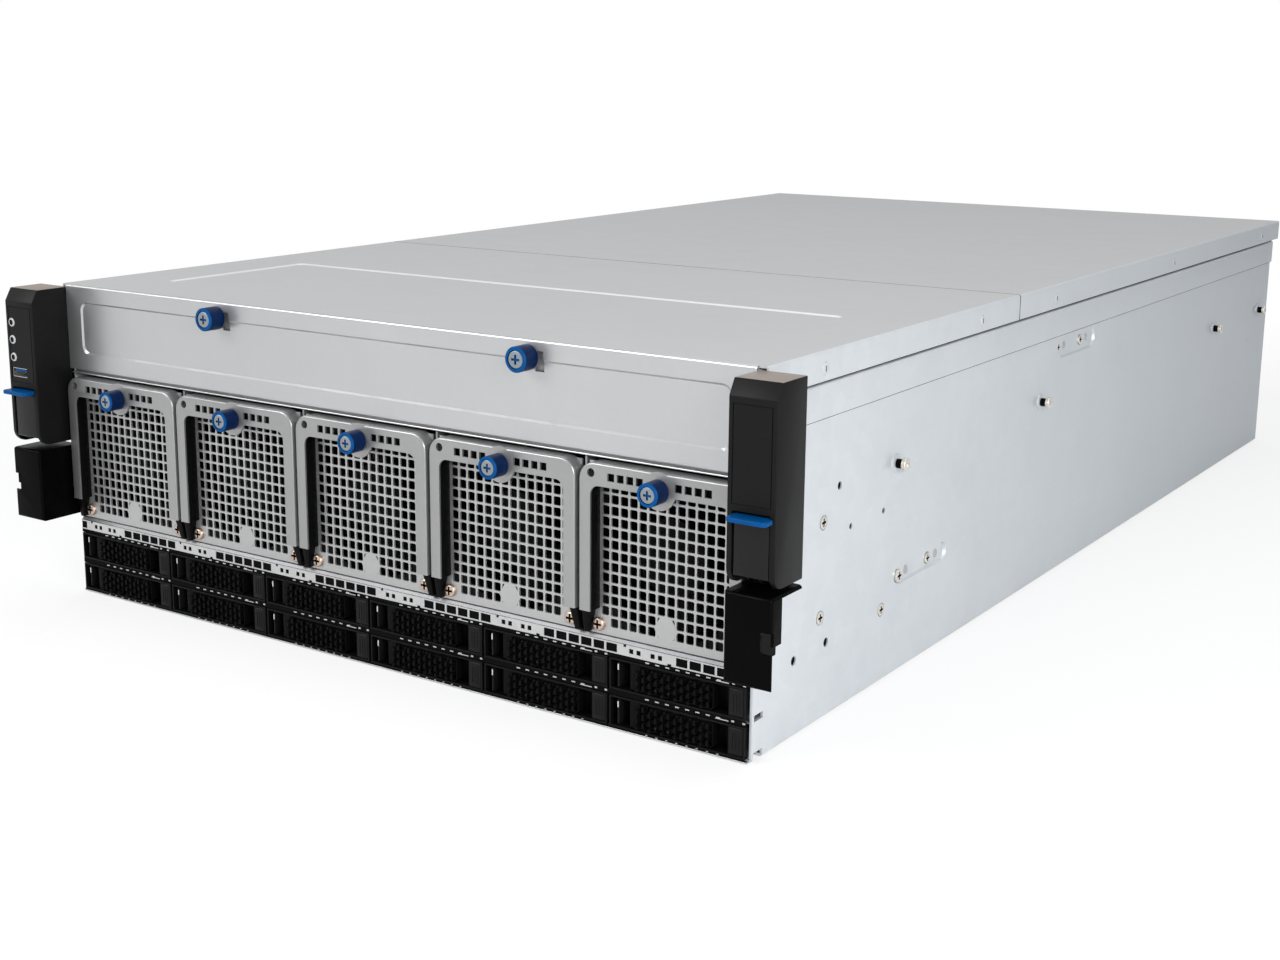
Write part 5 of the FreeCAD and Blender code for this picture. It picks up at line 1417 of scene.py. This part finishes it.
def build_buttons():
    for node, height in BUTTONS:
        centre = (BUTTON_X, 0, height)
        cap = rod(node + "_cap", "y", centre, (EAR_FACE - 0.35, EAR_FACE + 2.6), 4.8, 32)
        bevel(cap, 0.4, 3, lambda a, b: max(a.y, b.y) < EAR_FACE - 0.3)
        inset(cap, lambda c, n: n.y < -0.9, 0.7)
        inset(cap, lambda c, n: is_button_centre(c, n, height), 0.15, -0.3)
        smooth(cap)
        dress(cap, node, "button_grey", button_ring, node)
        paint_faces(cap, ear_plastic, lambda c, n: is_button_centre(c, n, height))


def is_button_centre(centre, normal, height):
    return normal.y < -0.9 and (centre.x - BUTTON_X) ** 2 + (centre.z - height) ** 2 < 0.1


build_buttons()


# Power supplies

SUPPLY_FACE = REAR + 1.0
SUPPLY_HALF = 36.75
SUPPLY_Z = (1.6, 41.2)
SUPPLY_MIDDLE = 21.4
SUPPLY_LENGTH = 185.0
SUPPLY_FAN_X = -14.0
SUPPLY_FAN = 34.0
SUPPLY_BLADES = 7
INLET_X = 22.0
INLET = (26.0, 20.0, 16.0)
HANDLE_X = (-32.0, 4.0)
HANDLE_Z = (32.0, 40.0)
HANDLE_REACH = 28.0


def supply_case(name):
    """Casing with its round fan recess and the inlet's mouth."""
    case = block(name, (-SUPPLY_HALF, SUPPLY_HALF), (SUPPLY_FACE - SUPPLY_LENGTH, SUPPLY_FACE), SUPPLY_Z)
    soften(case, 0.5, 2)
    out = SUPPLY_FACE + 1
    recess = rod("tool", "y", (SUPPLY_FAN_X, 0, SUPPLY_MIDDLE), (SUPPLY_FACE - 3, out), SUPPLY_FAN, 64)
    wide, tall, deep = INLET
    mouth = block("tool", span(INLET_X, wide), (SUPPLY_FACE - deep, out), span(SUPPLY_MIDDLE, tall))
    return smooth(combine(case, [recess, mouth]))


def supply_guard(name):
    """Wire finger guard: four rings and two crossed wires."""
    wires = []
    for radius in (4.5, 8.5, 12.5, 16.2):
        rest()
        bpy.ops.mesh.primitive_torus_add(
            major_radius=radius * MM,
            minor_radius=0.5 * MM,
            major_segments=40,
            minor_segments=8,
            location=[SUPPLY_FAN_X * MM, (SUPPLY_FACE - 0.8) * MM, SUPPLY_MIDDLE * MM],
            rotation=(pi / 2, 0, 0),
        )
        wires.append(settle("wire"))
    for wide, tall in ((32.6, 0.9), (0.9, 32.6)):
        y = (SUPPLY_FACE - 1.6, SUPPLY_FACE - 1.0)
        wires.append(block("wire", span(SUPPLY_FAN_X, wide), y, span(SUPPLY_MIDDLE, tall)))
    return smooth(join(name, wires))


def supply_fan(name):
    """Dark fan behind the guard: a disc, a hub and seven pitched blades."""
    centre = (SUPPLY_FAN_X, 0, SUPPLY_MIDDLE)
    pieces = [
        rod(name, "y", centre, (SUPPLY_FACE - 2.98, SUPPLY_FACE - 2.8), SUPPLY_FAN - 0.4, 48),
        rod("hub", "y", centre, (SUPPLY_FACE - 2.9, SUPPLY_FACE - 1.9), 12, 32),
    ]
    bevel(pieces[1], 0.4, 2, lambda a, b: min(a.y, b.y) > SUPPLY_FACE - 2)
    for number in range(SUPPLY_BLADES):
        blade = block("blade", (-2.6, 2.6), (-0.12, 0.12), (5.5, 15.6))
        pitch = Matrix.Rotation(radians(18), 4, "Z")
        swing = Matrix.Rotation(2 * pi * number / SUPPLY_BLADES, 4, "Y")
        seat = Matrix.Translation(Vector((SUPPLY_FAN_X, SUPPLY_FACE - 2.3, SUPPLY_MIDDLE)) * MM)
        blade.data.transform(seat @ swing @ pitch)
        pieces.append(blade)
    return smooth(join(name, pieces))


def supply_handle(name):
    """Pull loop of bent strip with rounded corners."""
    loop = block(name, HANDLE_X, (SUPPLY_FACE - 0.5, SUPPLY_FACE + HANDLE_REACH), HANDLE_Z)
    bevel(loop, 4, 6, lambda a, b: abs(a.z - b.z) > 5 and min(a.y, b.y) > SUPPLY_FACE + 1)
    inner_x = (HANDLE_X[0] + 2, HANDLE_X[1] - 2)
    inner_z = (HANDLE_Z[0] - 1, HANDLE_Z[1] + 1)
    hollow = block("tool", inner_x, (SUPPLY_FACE - 1, SUPPLY_FACE + HANDLE_REACH - 2), inner_z)
    bevel(hollow, 2, 5, lambda a, b: abs(a.z - b.z) > 5 and min(a.y, b.y) > SUPPLY_FACE + 1)
    combine(loop, [hollow])
    return smooth(soften(loop, 0.4, 2))


def supply_inlet(name):
    """Black lining of the inlet."""
    wide, tall, deep = INLET
    y = (SUPPLY_FACE - deep + 0.05, SUPPLY_FACE + 0.4)
    lining = block(name, span(INLET_X, wide - 0.2), y, span(SUPPLY_MIDDLE, tall - 0.2))
    y = (SUPPLY_FACE - deep + 0.5, SUPPLY_FACE + 1)
    inside = block("tool", span(INLET_X, wide - 3), y, span(SUPPLY_MIDDLE, tall - 3))
    bevel(inside, 2.5, 4, lambda a, b: abs(a.y - b.y) > 5 and min(a.z, b.z) > SUPPLY_MIDDLE)
    return smooth(combine(lining, [inside]))


def supply_pins(name):
    pins = []
    y = (SUPPLY_FACE - 16, SUPPLY_FACE - 5)
    for offset, rise in ((-7, -2), (0, 2), (7, -2)):
        pin = block("pin", span(INLET_X + offset, 2), y, span(SUPPLY_MIDDLE + rise, 4))
        pins.append(soften(pin, 0.3, 2))
    return smooth(join(name, pins))


def build_supplies():
    makers = (
        ("case", supply_case, "supply_steel", side_steel),
        ("fan", supply_fan, "rotor_black", fan_plastic),
        ("guard", supply_guard, "stud_nickel", screw_nickel),
        ("handle", supply_handle, "latch_black", latch_plastic),
        ("inlet", supply_inlet, "latch_black", latch_plastic),
        ("pins", supply_pins, "stud_nickel", screw_nickel),
    )
    for label, maker, slot, finish in makers:
        model = maker("supply_" + label)
        for number in range(1, 5):
            node = "power_supply_" + str(number)
            low, high = node_box(node)
            piece = copied(model, "supply_" + label + "_" + str(number), ((low.x + high.x) / 2, 0, 0))
            dress(piece, node, slot, finish, *([node] if label == "case" else []))
        discard(model)


build_supplies()


# Camera, light and floor

CAMERA_PLACE = Vector((571.9, -618.6 + FRONT, 300.7))
CAMERA_AZIMUTH = radians(34.38)
CAMERA_ELEVATION = radians(12.02)
CAMERA_ROLL = radians(0.318)
FOCAL_PIXELS = 1754.1
CENTRE_PIXELS = (616.9, 425.9)
IMAGE = (1280, 960)
ROOM_LIGHT = 0.35
MIRRORED_LIGHT = 0.75
PAPER_GLOW = 0.7
PLAIN_START = 600
PLAIN_FADE = 500


def add_camera():
    level = cos(CAMERA_ELEVATION)
    back = Vector((sin(CAMERA_AZIMUTH) * level, -cos(CAMERA_AZIMUTH) * level, sin(CAMERA_ELEVATION)))
    right = Vector((0, 0, 1)).cross(back).normalized()
    up = back.cross(right)
    turned_right = right * cos(CAMERA_ROLL) + up * sin(CAMERA_ROLL)
    turned_up = up * cos(CAMERA_ROLL) - right * sin(CAMERA_ROLL)
    data = bpy.data.cameras.new("camera")
    data.sensor_width = 36
    data.lens = FOCAL_PIXELS / IMAGE[0] * data.sensor_width
    data.shift_x = (IMAGE[0] / 2 - CENTRE_PIXELS[0]) / IMAGE[0]
    data.shift_y = (CENTRE_PIXELS[1] - IMAGE[1] / 2) / IMAGE[0]
    data.clip_start = 0.01
    camera = bpy.data.objects.new("camera", data)
    bpy.context.scene.collection.objects.link(camera)
    turn = Matrix((turned_right, turned_up, back)).transposed().to_4x4()
    camera.matrix_world = Matrix.Translation(CAMERA_PLACE * MM) @ turn
    bpy.context.scene.camera = camera


def add_world():
    world = bpy.data.worlds.new("studio")
    bpy.context.scene.world = world
    world.use_nodes = True
    tree = world.node_tree
    tree.nodes.clear()
    path = tree.nodes.new("ShaderNodeLightPath")
    level = tree.nodes.new("ShaderNodeMapRange")
    level.inputs["To Min"].default_value = ROOM_LIGHT
    level.inputs["To Max"].default_value = MIRRORED_LIGHT
    tree.links.new(path.outputs["Is Glossy Ray"], level.inputs["Value"])
    room = tree.nodes.new("ShaderNodeBackground")
    room.inputs["Color"].default_value = (0.95, 0.97, 1, 1)
    tree.links.new(level.outputs[0], room.inputs["Strength"])
    paper = tree.nodes.new("ShaderNodeBackground")
    paper.inputs["Color"].default_value = (1, 1, 1, 1)
    paper.inputs["Strength"].default_value = 1.0
    mix = tree.nodes.new("ShaderNodeMixShader")
    output = tree.nodes.new("ShaderNodeOutputWorld")
    tree.links.new(path.outputs["Is Camera Ray"], mix.inputs[0])
    tree.links.new(room.outputs[0], mix.inputs[1])
    tree.links.new(paper.outputs[0], mix.inputs[2])
    tree.links.new(mix.outputs[0], output.inputs[0])


def add_floor():
    """White paper that keeps the server's shadow near it and is plain white further off."""
    rest()
    bpy.ops.mesh.primitive_plane_add(size=14, location=(0, 0, -0.0005))
    floor = bpy.context.object
    floor.name = "floor"
    maker = Maker("floor_paper")
    tree = maker.tree
    paper = tree.nodes.new("ShaderNodeBsdfDiffuse")
    paper.inputs["Color"].default_value = (0.9, 0.9, 0.9, 1)
    glow = tree.nodes.new("ShaderNodeEmission")
    glow.inputs["Strength"].default_value = 1.0
    distance = maker.node("VectorMath", {"operation": "LENGTH"}, {0: maker.place()}, "Value")
    plain = ((distance - PLAIN_START) / PLAIN_FADE).clamped()
    camera = Socket(maker, tree.nodes.new("ShaderNodeLightPath").outputs["Is Camera Ray"])
    share = camera * (plain * (1 - PAPER_GLOW) + PAPER_GLOW)
    mix = tree.nodes.new("ShaderNodeMixShader")
    tree.links.new(share.output, mix.inputs[0])
    tree.links.new(paper.outputs[0], mix.inputs[1])
    tree.links.new(glow.outputs[0], mix.inputs[2])
    output = maker.shader.outputs[0].links[0].to_node
    tree.nodes.remove(maker.shader)
    tree.links.new(mix.outputs[0], output.inputs[0])
    floor.data.materials.append(maker.material)


def add_lamp(name, place, target, size, power):
    data = bpy.data.lights.new(name, "AREA")
    data.energy = power
    data.shape = "RECTANGLE"
    data.size, data.size_y = size
    lamp = bpy.data.objects.new(name, data)
    bpy.context.scene.collection.objects.link(lamp)
    lamp.location = place
    direction = Vector(target) - Vector(place)
    lamp.rotation_euler = direction.to_track_quat("-Z", "Y").to_euler()


add_camera()
add_world()
add_floor()
add_lamp("key_left", (-1.3, -2.1, 1.4), (0, -0.4, 0.1), (1.4, 1.1), 42)
add_lamp("side_right", (1.15, -1.05, 0.55), (0.22, -0.35, 0.08), (0.6, 0.5), 15)
add_lamp("top_soft", (0, 0.4, 2.4), (0, 0, 0), (2.2, 2.2), 26)
bpy.context.scene.view_settings.view_transform = "Standard"
